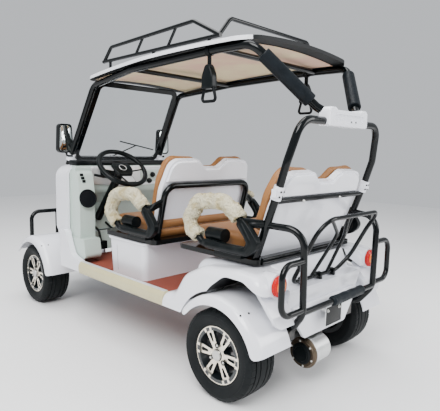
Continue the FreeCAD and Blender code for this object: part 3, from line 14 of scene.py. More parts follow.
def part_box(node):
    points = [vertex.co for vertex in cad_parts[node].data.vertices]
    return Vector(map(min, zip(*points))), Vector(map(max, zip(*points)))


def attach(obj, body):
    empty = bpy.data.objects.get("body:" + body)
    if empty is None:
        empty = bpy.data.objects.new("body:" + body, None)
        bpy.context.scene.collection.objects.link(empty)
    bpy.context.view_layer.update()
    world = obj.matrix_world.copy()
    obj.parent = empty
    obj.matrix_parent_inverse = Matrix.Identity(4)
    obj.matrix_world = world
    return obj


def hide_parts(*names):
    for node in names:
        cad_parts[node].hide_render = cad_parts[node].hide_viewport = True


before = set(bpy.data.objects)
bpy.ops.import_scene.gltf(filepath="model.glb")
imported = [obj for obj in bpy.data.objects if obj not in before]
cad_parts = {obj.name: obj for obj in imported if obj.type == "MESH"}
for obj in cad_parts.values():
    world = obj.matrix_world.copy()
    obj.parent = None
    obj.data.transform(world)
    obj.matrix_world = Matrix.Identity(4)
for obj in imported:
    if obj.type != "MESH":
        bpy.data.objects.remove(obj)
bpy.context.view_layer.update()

# %% [markdown]
# ## Places that the whole cart hangs on
# Nothing here is typed twice. The wheel centres come from the boxes of the tyres, and what sits near a
# wheel is placed from them. A piece that follows another one asks the frame where that one is.


# %% Places read from the frame
def box_centre(node):
    """Middle of a node's box at rest."""
    low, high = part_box(node)
    return (Vector(low) + Vector(high)) / 2


WHEEL_NAMES = ("front_left", "front_right", "rear_left", "rear_right")
SIDES = (("left", 1), ("right", -1))
WHEELS = {name: box_centre("tyre_" + name) for name in WHEEL_NAMES}
REAR_AXLE_X = WHEELS["rear_left"].x
TYRE_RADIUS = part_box("tyre_rear_left")[1][2] / 2
print("rear axle at x", round(REAR_AXLE_X, 3), "tyre", round(2 * TYRE_RADIUS, 3), "m across")


def from_axle(x, y, z):
    """Point given in millimetres from the rear axle line, as the drawings are."""
    return Vector((REAR_AXLE_X + x / 1000, y / 1000, z / 1000))


# %% [markdown]
# ## The camera first
# The photograph was taken from behind and to the left, at chest height, with a mild wide lens. Setting the
# camera before anything else means that every later decision is judged in the same frame. The lens and the
# heading were solved from the wheels, whose real size is known, and a small roll tilts the picture a little.

# %% Camera
CAMERA_FROM_REAR_AXLE = Vector((-1.516, 2.113, 1.223))
HEADING, PITCH, ROLL = math.radians(-45.64), math.radians(-6.76), math.radians(1.21)
SENSOR_MM = 36
FOCAL_SHARE = 465.4 / 440


def set_camera():
    """Camera whose axes are worked out from heading, pitch and roll."""
    level = Vector((math.cos(HEADING), math.sin(HEADING), 0)) * math.cos(PITCH)
    forward = level + Vector((0, 0, math.sin(PITCH)))
    right = forward.cross(Vector((0, 0, 1))).normalized()
    up = right.cross(forward)
    rolled_right = math.cos(ROLL) * right + math.sin(ROLL) * up
    rolled_up = math.cos(ROLL) * up - math.sin(ROLL) * right
    turn = Matrix((rolled_right, rolled_up, -forward)).transposed()
    data = bpy.data.cameras.new("portrait_camera")
    data.sensor_width = SENSOR_MM
    data.lens = FOCAL_SHARE * SENSOR_MM
    camera = bpy.data.objects.new("portrait_camera", data)
    place = CAMERA_FROM_REAR_AXLE + Vector((REAR_AXLE_X, 0, 0))
    camera.matrix_world = Matrix.Translation(place) @ turn.to_4x4()
    bpy.context.scene.collection.objects.link(camera)
    bpy.context.scene.camera = camera
    return camera


camera = set_camera()
print("lens", round(camera.data.lens, 1), "mm")

# %% [markdown]
# ## Shader maths that reads like maths
# A material is a network of nodes, and wiring it by hand hides the idea behind it. The small class below
# wraps one output socket, so that `1 - mask * 0.4` adds the two Math nodes by itself. Colours are mixed
# with Mix nodes, since a Math node would turn them grey, and every other node comes from `add`. A finish also
# knows a few patterns by name: a cloud, cells, one coordinate of the place, and which way the surface faces.


# %% Sockets as numbers
class Signal:
    """Output socket of a node that takes part in Python arithmetic."""

    def __init__(self, finish, socket):
        self.finish, self.socket = finish, socket

    def maths(self, operation, first, second=None):
        """Math node on one or two values."""
        values = {0: first} if second is None else {0: first, 1: second}
        return self.finish.add("ShaderNodeMath", {"operation": operation}, values)

    def __add__(self, other):
        return self.maths("ADD", self, other)

    def __radd__(self, other):
        return self.maths("ADD", other, self)

    def __sub__(self, other):
        return self.maths("SUBTRACT", self, other)

    def __rsub__(self, other):
        return self.maths("SUBTRACT", other, self)

    def __mul__(self, other):
        return self.maths("MULTIPLY", self, other)

    def __rmul__(self, other):
        return self.maths("MULTIPLY", other, self)

    def __pow__(self, other):
        return self.maths("POWER", self, other)

    def absolute(self):
        """The value without its sign."""
        return self.maths("ABSOLUTE", self)

    def above(self, limit):
        """1 where the value is over a limit, and 0 elsewhere."""
        return self.maths("GREATER_THAN", self, limit)

    def wave(self):
        """Sine of the value, from -1 to 1."""
        return self.maths("SINE", self)

    def fade(self, low, high):
        """Smooth step from 0 at low to 1 at high."""
        return self.finish.add("ShaderNodeMapRange", {"interpolation_type": "SMOOTHSTEP"},
                               {"Value": self, "From Min": low, "From Max": high})


class Finish:
    """One material: a Principled shader and the nodes that feed it."""

    def __init__(self, name, **constants):
        self.material = bpy.data.materials.new(name)
        self.material.use_nodes = True
        self.tree = self.material.node_tree
        self.shader = self.tree.nodes["Principled BSDF"]
        for socket, value in constants.items():
            self.shader.inputs[socket.replace("_", " ")].default_value = value

    def add(self, kind, settings=None, inputs=None, output=0):
        """New node: its settings first, then the values or links of its sockets."""
        node = self.tree.nodes.new(kind)
        for setting, value in (settings or {}).items():
            setattr(node, setting, value)
        for socket, value in (inputs or {}).items():
            if isinstance(value, Signal):
                self.tree.links.new(value.socket, node.inputs[socket])
            else:
                node.inputs[socket].default_value = value
        return Signal(self, node.outputs[output])

    def feed(self, socket, signal):
        """Link a signal to the shader."""
        self.tree.links.new(signal.socket, self.shader.inputs[socket])

    def place(self):
        """Where a point of the piece lies, in metres."""
        return self.add("ShaderNodeTexCoord", output="Object")

    def stretched(self, scale):
        """The same place with its axes scaled, for grain that runs one way."""
        return self.add("ShaderNodeMapping", None, {"Vector": self.place(), "Scale": scale})

    def axis(self, name):
        """One coordinate of the place."""
        return self.add("ShaderNodeSeparateXYZ", None, {"Vector": self.place()}, output=name)

    def facing(self, name):
        """One part of the surface's direction, in the piece's own axes."""
        normal = self.add("ShaderNodeTexCoord", output="Normal")
        return self.add("ShaderNodeSeparateXYZ", None, {"Vector": normal}, output=name)

    def lines(self, name, spacing):
        """Waves along one axis, so many metres apart."""
        return (self.axis(name) * (2 * math.pi / spacing)).wave()

    def cloud(self, scale, detail=3, roughness=0.5, at=None):
        """Soft random value from 0 to 1."""
        inputs = {"Vector": at or self.place(), "Scale": scale, "Detail": detail, "Roughness": roughness}
        return self.add("ShaderNodeTexNoise", None, inputs)

    def cells(self, scale, feature="F1", at=None):
        """Distance inside random cells, for grain and crumples."""
        inputs = {"Vector": at or self.place(), "Scale": scale}
        return self.add("ShaderNodeTexVoronoi", {"feature": feature}, inputs)

    def blend(self, share, first, second):
        """Mix of two colours."""
        mix = self.tree.nodes.new("ShaderNodeMix")
        mix.data_type = "RGBA"
        for socket, value in ((0, share), (6, first), (7, second)):
            if isinstance(value, Signal):
                self.tree.links.new(value.socket, mix.inputs[socket])
            else:
                mix.inputs[socket].default_value = value
        return Signal(self, mix.outputs[2])

    def bump(self, height, strength, distance=0.001):
        """Small relief in the shading."""
        inputs = {"Height": height, "Strength": strength, "Distance": distance}
        self.feed("Normal", self.add("ShaderNodeBump", None, inputs))


print("shader tools ready:", Signal.__name__, "and", Finish.__name__)

# %% [markdown]
# ## Painting a part of the frame
# The measured parts arrive with plain materials. Their shapes stay as they are, and only what fills their
# material slots changes.


# %% Paint
def paint(node, finish):
    """Give a frame node a finish, in every material slot it has."""
    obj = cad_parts[node]
    if not obj.material_slots:
        obj.data.materials.append(finish.material)
    for slot in obj.material_slots:
        slot.material = finish.material


print("parts to paint:", len(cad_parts))

# %% [markdown]
# ## White moulded body
# The panels are gloss plastic, thick and slightly wavy. Flat white looks like paper, so the colour drifts a
# little, fine dust dulls the gloss in patches, and a very low bump breaks up long highlights as real moulded
# panels do. The clear coat is a constant, so it is set straight on the shader.

# %% White body finish
DUST = (0.62, 0.60, 0.56, 1)


def white_skin(finish):
    """Drifting white, and the dust that dulls its gloss."""
    skin = finish.blend(finish.cloud(2.2, detail=2), (0.86, 0.87, 0.91, 1), (0.80, 0.81, 0.88, 1))
    dust = finish.cloud(9, detail=6, roughness=0.65).fade(0.52, 0.78)
    return skin, dust


white_body = Finish("white_body", IOR=1.5, Coat_Weight=0.5, Coat_Roughness=0.06)
skin, dust = white_skin(white_body)
# Towards the bottom the white turns a little darker and greyer.
darker_low = (1 - white_body.axis("Z").fade(0.15, 0.75)) * 0.5
white_body.feed("Base Color", white_body.blend(dust * 0.12 + darker_low * 0.2, skin, DUST))
white_body.feed("Roughness", 0.16 + dust * 0.14)
white_body.bump(white_body.cloud(26, detail=2), 0.05, 0.002)
print("finish:", white_body.material.name)

# %% [markdown]
# ## Black powder coat
# Tubes are dipped in powder and baked. The coat is glossy, with the fine waves of orange peel, and small
# scuffs where hands and bags rub.

# %% Black tube finish
black_tube = Finish("black_tube", IOR=1.5, Specular_IOR_Level=0.24)
scuff = black_tube.cloud(45, detail=7, roughness=0.7).fade(0.62, 0.72)
black_tube.feed("Base Color", black_tube.blend(
    scuff * 0.35, (0.0015, 0.0025, 0.003, 1), (0.02, 0.022, 0.023, 1)))
black_tube.feed("Roughness", 0.12 + scuff * 0.2)
black_tube.bump(black_tube.cloud(420, detail=1), 0.12, 0.0006)
print("finish:", black_tube.material.name)

# %% [markdown]
# ## Tan vinyl
# Seat vinyl has a leather-like grain pressed into it: small closed cells with soft creases between them. The
# cells come from a Voronoi pattern, and a wider cloud paints the shade in the folds of stuffed vinyl into the
# colour.

# %% Tan vinyl finish
tan_vinyl = Finish("tan_vinyl", IOR=1.46, Specular_IOR_Level=0.4)
pebble = tan_vinyl.cells(340, feature="SMOOTH_F1")
painted_fold_shade = tan_vinyl.cloud(5.5, detail=4)
# The wide cloud paints fold shade into the tan as darker patches, and the same cloud varies the roughness.
tan_vinyl.feed("Base Color", tan_vinyl.blend(
    pebble * 0.35 + painted_fold_shade * 0.5, (0.24, 0.100, 0.032, 1), (0.36, 0.170, 0.060, 1)))
tan_vinyl.feed("Roughness", 0.36 + painted_fold_shade * 0.2)
tan_vinyl.bump(pebble + tan_vinyl.cloud(30, detail=3) * 1.6, 0.22, 0.0012)
print("finish:", tan_vinyl.material.name)

# %% [markdown]
# ## Moulded plastics
# Black plastic parts carry a fine sand texture from the mould. The inner front panel is the same kind of
# moulding in a pale grey green, smoother and a little translucent to the eye.

# %% Plastic finishes
black_plastic = Finish("black_plastic", IOR=1.45, Specular_IOR_Level=0.18)
sand = black_plastic.cloud(900, detail=2)
worn = black_plastic.cloud(18, detail=5).fade(0.5, 0.8)
black_plastic.feed("Base Color", black_plastic.blend(
    worn * 0.5, (0.003, 0.0045, 0.005, 1), (0.014, 0.017, 0.018, 1)))
black_plastic.feed("Roughness", 0.30 + worn * 0.18)
black_plastic.bump(sand, 0.25, 0.0005)

sage_plastic = Finish("sage_plastic", IOR=1.48, Coat_Weight=0.15, Coat_Roughness=0.2)
shade = sage_plastic.cloud(3.5, detail=3)
sage_plastic.feed("Base Color", sage_plastic.blend(shade, (0.44, 0.54, 0.49, 1), (0.56, 0.64, 0.59, 1)))
sage_plastic.feed("Roughness", 0.34 + shade * 0.12)
sage_plastic.bump(sage_plastic.cloud(700, detail=1), 0.08, 0.0005)
print("finishes:", black_plastic.material.name, sage_plastic.material.name)

# %% [markdown]
# ## Floor, sill and metals
# The floor has a red-brown mat with fine ribs. The sill cover is a cream moulding, and below the body the
# frame is plain painted steel with road dust on it.

# %% Floor, sill and metal finishes
floor_rubber = Finish("floor_rubber", IOR=1.45, Specular_IOR_Level=0.3)
ribs = floor_rubber.lines("Y", 0.012)
grime = floor_rubber.cloud(7, detail=6, roughness=0.6)
floor_rubber.feed("Base Color", floor_rubber.blend(grime, (0.17, 0.030, 0.016, 1), (0.27, 0.07, 0.045, 1)))
floor_rubber.feed("Roughness", 0.55 + grime * 0.25)
floor_rubber.bump(ribs + grime, 0.4, 0.0012)

sill_cream = Finish("sill_cream", IOR=1.5, Coat_Weight=0.2, Coat_Roughness=0.15)
mottle = sill_cream.cloud(11, detail=5)
sill_cream.feed("Base Color", sill_cream.blend(mottle, (0.49, 0.44, 0.23, 1), (0.59, 0.54, 0.31, 1)))
sill_cream.feed("Roughness", 0.30 + mottle * 0.15)
sill_cream.bump(sill_cream.cloud(60, detail=2), 0.05, 0.001)

frame_steel = Finish("frame_steel", IOR=1.5)
road_dust = frame_steel.cloud(14, detail=7, roughness=0.65)
frame_steel.feed("Base Color", frame_steel.blend(
    road_dust.fade(0.4, 0.75), (0.02, 0.021, 0.023, 1), (0.10, 0.09, 0.08, 1)))
frame_steel.feed("Roughness", 0.42 + road_dust * 0.3)
frame_steel.bump(frame_steel.cloud(300, detail=2), 0.15, 0.0006)

cast_alloy = Finish("cast_alloy", IOR=1.6, Metallic=1.0)
pits = cast_alloy.cloud(520, detail=3)
tarnish = cast_alloy.cloud(12, detail=6, roughness=0.6)
cast_alloy.feed("Base Color", cast_alloy.blend(tarnish, (0.50, 0.50, 0.48, 1), (0.78, 0.78, 0.75, 1)))
cast_alloy.feed("Roughness", 0.30 + tarnish * 0.22)
cast_alloy.bump(pits, 0.2, 0.0006)
print("finishes: floor, sill, frame steel and cast alloy")

# %% [markdown]
# ## Rubber and glass
# Tyre rubber is never pure black: it is grey from dust, more so on the tread. The windshield lets light
# through, so it needs transmission and very little roughness.

# %% Rubber and glass finishes
tyre_rubber = Finish("tyre_rubber", IOR=1.4, Specular_IOR_Level=0.12)
greyed = tyre_rubber.cloud(20, detail=6, roughness=0.62)
tyre_rubber.feed("Base Color", tyre_rubber.blend(greyed, (0.004, 0.005, 0.0055, 1), (0.015, 0.017, 0.018, 1)))
tyre_rubber.feed("Roughness", 0.42 + greyed * 0.25)
tyre_rubber.bump(tyre_rubber.cloud(600, detail=3), 0.2, 0.0005)

clear_glass = Finish("clear_glass", IOR=1.12, Transmission_Weight=1.0)
film = clear_glass.cloud(6, detail=5)
clear_glass.feed("Base Color", clear_glass.blend(film, (0.90, 0.93, 0.94, 1), (0.96, 0.97, 0.97, 1)))
clear_glass.feed("Roughness", 0.02 + film * 0.03)

print("finishes:", tyre_rubber.material.name, clear_glass.material.name)

# %% [markdown]
# ## Who wears what
# Most parts of the frame take one of these finishes as they are, and the table lists them by finish. Parts
# that need two looks on one solid, such as rims and lamps, get their own finishes further down.

# %% Finishes on the frame's nodes
NODE_FINISH = {
    white_body: ("front_body", "rear_valance", "front_seat_base", "seat_shells", "lamp_box", "rear_fenders",
                 "front_fender_left", "front_fender_right", "pillar_clamps"),
    black_tube: ("roof_frame", "windshield_frame", "roof_rack", "front_guard", "rear_guard", "rear_rack",
                 "rack_brackets", "front_seat_frame", "rear_seat_frame"),
    tan_vinyl: ("front_seat_cushion", "rear_seat_cushion", "front_back_cushion", "rear_back_cushion"),
    black_plastic: ("armrests", "steering_wheel", "column_and_pedals", "mirrors", "battery_pack"),
    sage_plastic: ("dash_panel",),
    floor_rubber: ("floor_mat", "floor_pan"),
    sill_cream: ("side_sills",),
    frame_steel: ("chassis_frame", "front_axle", "rear_axle", "front_knuckle_left", "front_knuckle_right"),
    tyre_rubber: tuple("tyre_" + name for name in WHEELS),
    clear_glass: ("windshield_glass",),
}
for finish, names in NODE_FINISH.items():
    for name in names:
        paint(name, finish)
print("painted", sum(len(names) for names in NODE_FINISH.values()), "nodes")

# %% [markdown]
# ## Small tools for shapes
# Most parts that are added here are turned on a lathe, swept along a line, or cut from a plate. Three short
# functions make those meshes, and one more puts a mesh into the scene, lets it ride on its body and keeps
# its sharp edges sharp. The rest join meshes, number the faces of a grid, and soften lines and corners.


# %% Shape tools
def mesh_of(name, points, faces):
    """Mesh from points and faces, with doubled points merged."""
    mesh = bpy.data.meshes.new(name)
    mesh.from_pydata([tuple(point) for point in points], [], faces)
    work = bmesh.new()
    work.from_mesh(mesh)
    bmesh.ops.remove_doubles(work, verts=work.verts, dist=1e-6)
    bmesh.ops.recalc_face_normals(work, faces=work.faces)
    work.to_mesh(mesh)
    work.free()
    return mesh


def smooth_skin(mesh, finish):
    """Smooth shading and one finish for a whole mesh."""
    mesh.shade_smooth()
    mesh.materials.clear()
    mesh.materials.append(finish.material)


def piece(name, mesh, finish, body="chassis", sharp=38):
    """Object that rides on a body, smooth but for its sharp edges."""
    smooth_skin(mesh, finish)
    mesh.set_sharp_from_angle(angle=math.radians(sharp))
    obj = bpy.data.objects.new(name, mesh)
    bpy.context.scene.collection.objects.link(obj)
    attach(obj, body)
    return obj


def joined(name, meshes):
    """One mesh from several."""
    work = bmesh.new()
    for mesh in meshes:
        work.from_mesh(mesh)
    whole = bpy.data.meshes.new(name)
    work.to_mesh(whole)
    work.free()
    return whole


def lathe(name, centre, axis, profile, steps, shape=None):
    """Surface turned about an axis, from pairs of distance along it and radius."""
    axis = Vector(axis).normalized()
    first = axis.orthogonal().normalized()
    second = axis.cross(first)
    points = []
    for step in range(steps):
        angle = 2 * math.pi * step / steps
        out = first * math.cos(angle) + second * math.sin(angle)
        for along, radius in profile:
            if shape:
                along, radius = shape(angle, along, radius)
            points.append(Vector(centre) + axis * along + out * radius)
    rows = len(profile)
    faces = []
    for step in range(steps):
        after = (step + 1) % steps
        for row in range(rows - 1):
            here, there = step * rows + row, after * rows + row
            faces.append((here, there, there + 1, here + 1))
    return mesh_of(name, points, faces)


def sweep(name, path, radius, sides=16, shape=None):
    """Round bar along a line, with closed ends; shape gives the radius from share and angle."""
    path = [Vector(point) for point in path]
    heading = (path[1] - path[0]).normalized()
    side = heading.orthogonal().normalized()
    points = []
    for number, place in enumerate(path):
        ahead = path[min(number + 1, len(path) - 1)] - path[max(number - 1, 0)]
        turn = heading.rotation_difference(ahead.normalized())
        side.rotate(turn)
        heading = ahead.normalized()
        across = heading.cross(side)
        share = number / (len(path) - 1)
        for step in range(sides):
            angle = 2 * math.pi * step / sides
            reach = shape(share, angle) if shape else radius
            points.append(place + (side * math.cos(angle) + across * math.sin(angle)) * reach)
    faces = [tuple(range(sides)), tuple(range(len(points) - 1, len(points) - sides - 1, -1))]
    for row in range(len(path) - 1):
        here, there = row * sides, (row + 1) * sides
        for step in range(sides):
            after = (step + 1) % sides
            faces.append((here + step, here + after, there + after, there + step))
    return mesh_of(name, points, faces)


def grid_faces(rows, columns):
    """Four-sided faces of a grid whose points run along a row first."""
    width = columns + 1
    faces = []
    for row in range(rows):
        for column in range(columns):
            here, there = row * width + column, (row + 1) * width + column
            faces.append((here, here + 1, there + 1, there))
    return faces


def plate(name, outline, thickness, bevel):
    """Flat board with rounded rims: an outline of points, pushed along a vector."""
    work = bmesh.new()
    face = work.faces.new([work.verts.new(point) for point in outline])
    pushed = bmesh.ops.extrude_face_region(work, geom=[face])
    moved = [item for item in pushed["geom"] if isinstance(item, bmesh.types.BMVert)]
    bmesh.ops.translate(work, verts=moved, vec=thickness)
    bmesh.ops.recalc_face_normals(work, faces=work.faces)
    if bevel:
        bmesh.ops.bevel(work, geom=list(work.edges), offset=bevel, segments=3, profile=0.5, affect="EDGES")
    mesh = bpy.data.meshes.new(name)
    work.to_mesh(mesh)
    work.free()
    return mesh


def softened_line(points, rounds=3):
    """Corners of a line cut again and again until it is a smooth curve."""
    points = [Vector(point) for point in points]
    for _ in range(rounds):
        cut = [points[0]]
        for here, there in zip(points, points[1:]):
            cut += [here.lerp(there, 0.25), here.lerp(there, 0.75)]
        points = cut + [points[-1]]
    return points


def rounded_outline(points, radius, steps=4):
    """Closed outline whose corners turn in arcs that start so far from each corner."""
    points = [Vector(point) for point in points]
    rounded = []
    for number, corner in enumerate(points):
        before, after = points[number - 1] - corner, points[(number + 1) % len(points)] - corner
        start = corner + before.normalized() * min(radius, before.length * 0.45)
        end = corner + after.normalized() * min(radius, after.length * 0.45)
        for step in range(steps + 1):
            share = step / steps
            rounded.append(start.lerp(corner, share).lerp(corner.lerp(end, share), share))
    return rounded


print("shape tools ready: lathe, sweep, plate and piece")

# %% [markdown]
# ## Bolts
# A bolt head is a washer with a low domed hexagon on it. The lathe makes it too: its shape function pulls the
# head's rows into six flats, and leaves the washer's rows round.


# %% Bolt heads
def bolt_head(place, facing, radius):
    """Washer and domed hexagon head."""
    head = radius * 0.68

    def hexagon(angle, along, reach):
        """Pull the rows of the head into six flats."""
        if reach > head * 1.05 or reach < head * 0.6:
            return along, reach
        flat = math.cos(math.pi / 6) / math.cos((angle % (math.pi / 3)) - math.pi / 6)
        return along, reach * flat

    rise = radius * 0.22
    profile = [(-rise, radius), (rise * 0.8, radius), (rise, radius * 0.94), (rise, head), (rise * 3.4, head),
               (rise * 4.1, head * 0.8), (rise * 4.4, head * 0.4), (rise * 4.5, 0)]
    return lathe("bolt_head", place, facing, profile, 24, hexagon)


def bolts(name, places, facing, radius, finish, body="chassis"):
    """Row of bolt heads as one piece."""
    heads = [bolt_head(place, facing, radius) for place in places]
    return piece(name, joined(name, heads), finish, body, sharp=28)


print("bolt heads ready, from washer to dome")

# %% [markdown]
# ## Tyres
# A road tyre is a lathe shape with a busy edge: a bulging side wall with two fine raised rings, a rounded
# shoulder, and a tread cut by four grooves that run round it. Short notches across the shoulder ribs come
# from the shape function, which lowers one step in eight. The side wall is plain but for its rings.

# %% Tyres
SIDE_WALL = [
    (82, 143.6), (86, 145), (89, 150), (90, 154), (92.2, 155), (93, 158), (95, 163), (98.2, 173),
    (100, 183), (100.6, 191), (99.8, 198), (101, 199.2), (100.8, 202), (98.6, 205), (95.5, 210.5),
    (91, 216.5), (86, 221.5),
]
TREAD_EDGES = [80.5, 57.5, 49.5, 27, 19.5]
GROOVE_DEPTH = 6.5
NOTCHES = 40
NOTCH_BAND = (57, 93)
NOTCH_DEPTH, NOTCH_SHARE = 0.0030, 0.12
NOTCH_RADIUS, GROOVE_RADIUS = 0.214, 0.2
GROOVE_WAVER = 0.0007
CROWN_DROP = 4.0


def tread_radius(across):
    """Radius of the slightly domed tread, in millimetres, so far from its middle."""
    return TYRE_RADIUS * 1000 - CROWN_DROP * (across / TREAD_EDGES[0]) ** 2


def half_tyre():
    """Outline from the bead to the middle of the tread, in millimetres."""
    outline = list(SIDE_WALL) + [(TREAD_EDGES[0], tread_radius(TREAD_EDGES[0]))]
    for outer, inner in (TREAD_EDGES[1:3], TREAD_EDGES[3:5]):
        outline += [((outline[-1][0] + outer) / 2, tread_radius((outline[-1][0] + outer) / 2))]
        outline += [(outer, tread_radius(outer)), (outer - 1.2, tread_radius(outer) - GROOVE_DEPTH)]
        outline += [(inner + 1.2, tread_radius(inner) - GROOVE_DEPTH), (inner, tread_radius(inner))]
    return outline


def notched(angle, along, radius):
    """Lower one step in eight on the shoulder ribs, and let the groove walls waver."""
    share = (angle * NOTCHES / (2 * math.pi)) % 1
    across = abs(along) * 1000
    if NOTCH_BAND[0] < across < NOTCH_BAND[1] and radius > NOTCH_RADIUS and share < NOTCH_SHARE:
        radius -= NOTCH_DEPTH
    if across < NOTCH_BAND[0] and radius > GROOVE_RADIUS:
        along += math.copysign(GROOVE_WAVER, along) * math.sin(angle * NOTCHES)
    return along, radius


for name, centre in WHEELS.items():
    half = [(across / 1000, radius / 1000) for across, radius in half_tyre()]
    outline = half + [(-across, radius) for across, radius in reversed(half)]
    tyre_mesh = lathe("tyre", centre, (0, 1, 0), outline, NOTCHES * 8, notched)
    tyre = piece("tyre_tread_" + name, tyre_mesh, tyre_rubber, "wheel_" + name, sharp=30)
    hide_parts("tyre_" + name)
print("tyre outline:", len(outline), "points")

# %% [markdown]
# ## Wheel centres
# The machined spokes carry a plain cap over the hub nut, and bolts in round seats near the roots of every
# other spoke. How far out the hub's face lies is read from the rim's own mesh, so the parts sit on it.


# %% Wheel centres
def hub_face(name, side):
    """Outermost place of the rim's hub, seen from the side of the cart."""
    centre = WHEELS[name]
    near = [vertex.co.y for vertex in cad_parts["rim_" + name].data.vertices
            if math.hypot(vertex.co.x - centre.x, vertex.co.z - centre.z) < 0.06]
    return max(near) if side > 0 else min(near)


CAP_PROFILE = [(-0.004, 0.027), (0.003, 0.027), (0.006, 0.0255), (0.0065, 0.021), (0.0055, 0.0195),
               (0.0065, 0.012), (0.007, 0)]
SEAT_PROFILE = [(-0.001, 0.0125), (0.0012, 0.0125), (0.0012, 0.0095), (-0.006, 0.0090), (-0.006, 0)]
BOLT_COUNT, BOLT_RADIUS = 3, 0.0082
BOLT_CIRCLE, BOLT_SINK = 0.049, 0.004
VALVE_LINE = [(0.118, 0.045), (0.112, 0.066), (0.108, 0.074)]
for name, centre in WHEELS.items():
    side = 1 if name.endswith("left") else -1
    face = hub_face(name, side)
    body = "wheel_" + name
    middle = Vector((centre.x, face, centre.z))
    piece("hub_cap_" + name, lathe("cap", middle, (0, side, 0), CAP_PROFILE, 40), cast_alloy, body)
    seats = []
    places = []
    for number in range(BOLT_COUNT):
        angle = math.radians(90 + 360 * number / BOLT_COUNT)
        spot = middle + Vector((math.cos(angle), 0, math.sin(angle))) * BOLT_CIRCLE
        seats.append(lathe("seat", spot, (0, side, 0), SEAT_PROFILE, 24))
        places.append(spot - Vector((0, side * BOLT_SINK, 0)))
    piece("bolt_seats_" + name, joined("seats", seats), black_plastic, body)
    bolts("wheel_bolts_" + name, places, (0, side, 0), BOLT_RADIUS, cast_alloy, body)
    stem = softened_line([centre + Vector((x, side * y, 0)) for x, y in VALVE_LINE], 2)
    piece("valve_" + name, sweep("valve", stem, 0.0035, 12), black_plastic, body)
print("hub face", round(face, 3))

# %% [markdown]
# ## Stuffed cushions
# A seat cushion is foam under a stretched vinyl skin: its middle stands up, its sides pull in between the
# corners. Modelling that by hand looks stiff, so the plain solid is cut into small even faces and blown up a
# little by a cloth simulation with air pressure inside. It starts a bit smaller, no point may travel more
# than the cap, and at the end it is scaled to the box that it had at first, so it keeps to the room of the
# solid.

# %% Stuffed cushions
CUSHION_VOXEL = 0.009
CUSHION_CAP = 0.016
CUSHION_SHRINK = 0.006
CUSHION_FRAMES = 20


def evaluated_mesh(obj):
    """The object's mesh with its modifiers applied."""
    return bpy.data.meshes.new_from_object(obj.evaluated_get(bpy.context.evaluated_depsgraph_get()))


def remeshed(obj, voxel):
    """Skin of even faces."""
    even = obj.modifiers.new("even", "REMESH")
    even.mode = "VOXEL"
    even.voxel_size = voxel
    mesh = evaluated_mesh(obj)
    obj.modifiers.clear()
    obj.data = mesh


def shrunk(obj, margin, floor):
    """Pull the skin in from its box by a margin, but not up from the face that it rests on."""
    low, high = [Vector(corner) for corner in (obj.bound_box[0], obj.bound_box[6])]
    middle, half = (low + high) / 2, (high - low) / 2
    for vertex in obj.data.vertices:
        for axis in range(3):
            reach = (vertex.co[axis] - middle[axis]) / half[axis]
            if axis == floor and reach < 0:
                continue
            vertex.co[axis] -= margin * reach


def blown_up(obj, cap, pressure):
    """Cloth with air inside it, stopped by the cap, then made solid."""
    start = [vertex.co.copy() for vertex in obj.data.vertices]
    cloth = obj.modifiers.new("cloth", "CLOTH")
    cloth.settings.quality = 4
    cloth.settings.use_pressure = True
    cloth.settings.uniform_pressure_force = pressure
    cloth.settings.tension_stiffness = 14
    cloth.settings.compression_stiffness = 14
    cloth.settings.bending_stiffness = 0.6
    cloth.settings.effector_weights.gravity = 0
    scene = bpy.context.scene
    for frame_number in range(1, CUSHION_FRAMES + 1):
        scene.frame_set(frame_number)
    mesh = evaluated_mesh(obj)
    obj.modifiers.clear()
    for vertex, before in zip(mesh.vertices, start):
        step = vertex.co - before
        if step.length > cap:
            vertex.co = before + step * (cap / step.length)
    obj.data = mesh
    scene.frame_set(1)


def refitted(mesh, low, high):
    """Scale a mesh so that its box is the given one again, since the cloth pulls its corners in."""
    found_low = Vector([min(vertex.co[axis] for vertex in mesh.vertices) for axis in range(3)])
    found_high = Vector([max(vertex.co[axis] for vertex in mesh.vertices) for axis in range(3)])
    for vertex in mesh.vertices:
        for axis in range(3):
            share = (vertex.co[axis] - found_low[axis]) / (found_high[axis] - found_low[axis])
            vertex.co[axis] = low[axis] + share * (high[axis] - low[axis])


def stuffed(node, lean, pressure=4.0):
    """Replace a plain cushion solid by a stuffed one; lean turns a seat back upright for the work."""
    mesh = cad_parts[node].data.copy()
    low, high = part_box(node)
    pivot = Vector((low[0], 0, low[2]))
    upright = Matrix.Translation(pivot) @ Matrix.Rotation(lean, 4, "Y") @ Matrix.Translation(-pivot)
    mesh.transform(upright)
    obj = piece(node + "_cover", mesh, tan_vinyl)
    remeshed(obj, CUSHION_VOXEL)
    box = [Vector(corner) for corner in (obj.bound_box[0], obj.bound_box[6])]
    shrunk(obj, CUSHION_SHRINK, 0 if lean else 2)
    blown_up(obj, CUSHION_CAP, pressure)
    refitted(obj.data, *box)
    smooth = obj.modifiers.new("fine", "SUBSURF")
    smooth.levels = 1
    mesh = evaluated_mesh(obj)
    obj.modifiers.clear()
    mesh.transform(upright.inverted())
    smooth_skin(mesh, tan_vinyl)
    obj.data = mesh
    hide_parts(node)
    return obj


FRONT_LEAN, REAR_LEAN = math.radians(15), math.radians(20)
for node, lean in (("front_seat_cushion", 0), ("rear_seat_cushion", 0),
                   ("front_back_cushion", FRONT_LEAN), ("rear_back_cushion", REAR_LEAN)):
    cover = stuffed(node, lean)
    print(cover.name, len(cover.data.vertices), "points")

# %% [markdown]
# ## Foam round the armrests
# The armrests still wear their packing foam, wound round the bar in a band. The plain sleeves get small even
# faces, and every point moves along its normal by a mix of lumps, folds and fine creases.

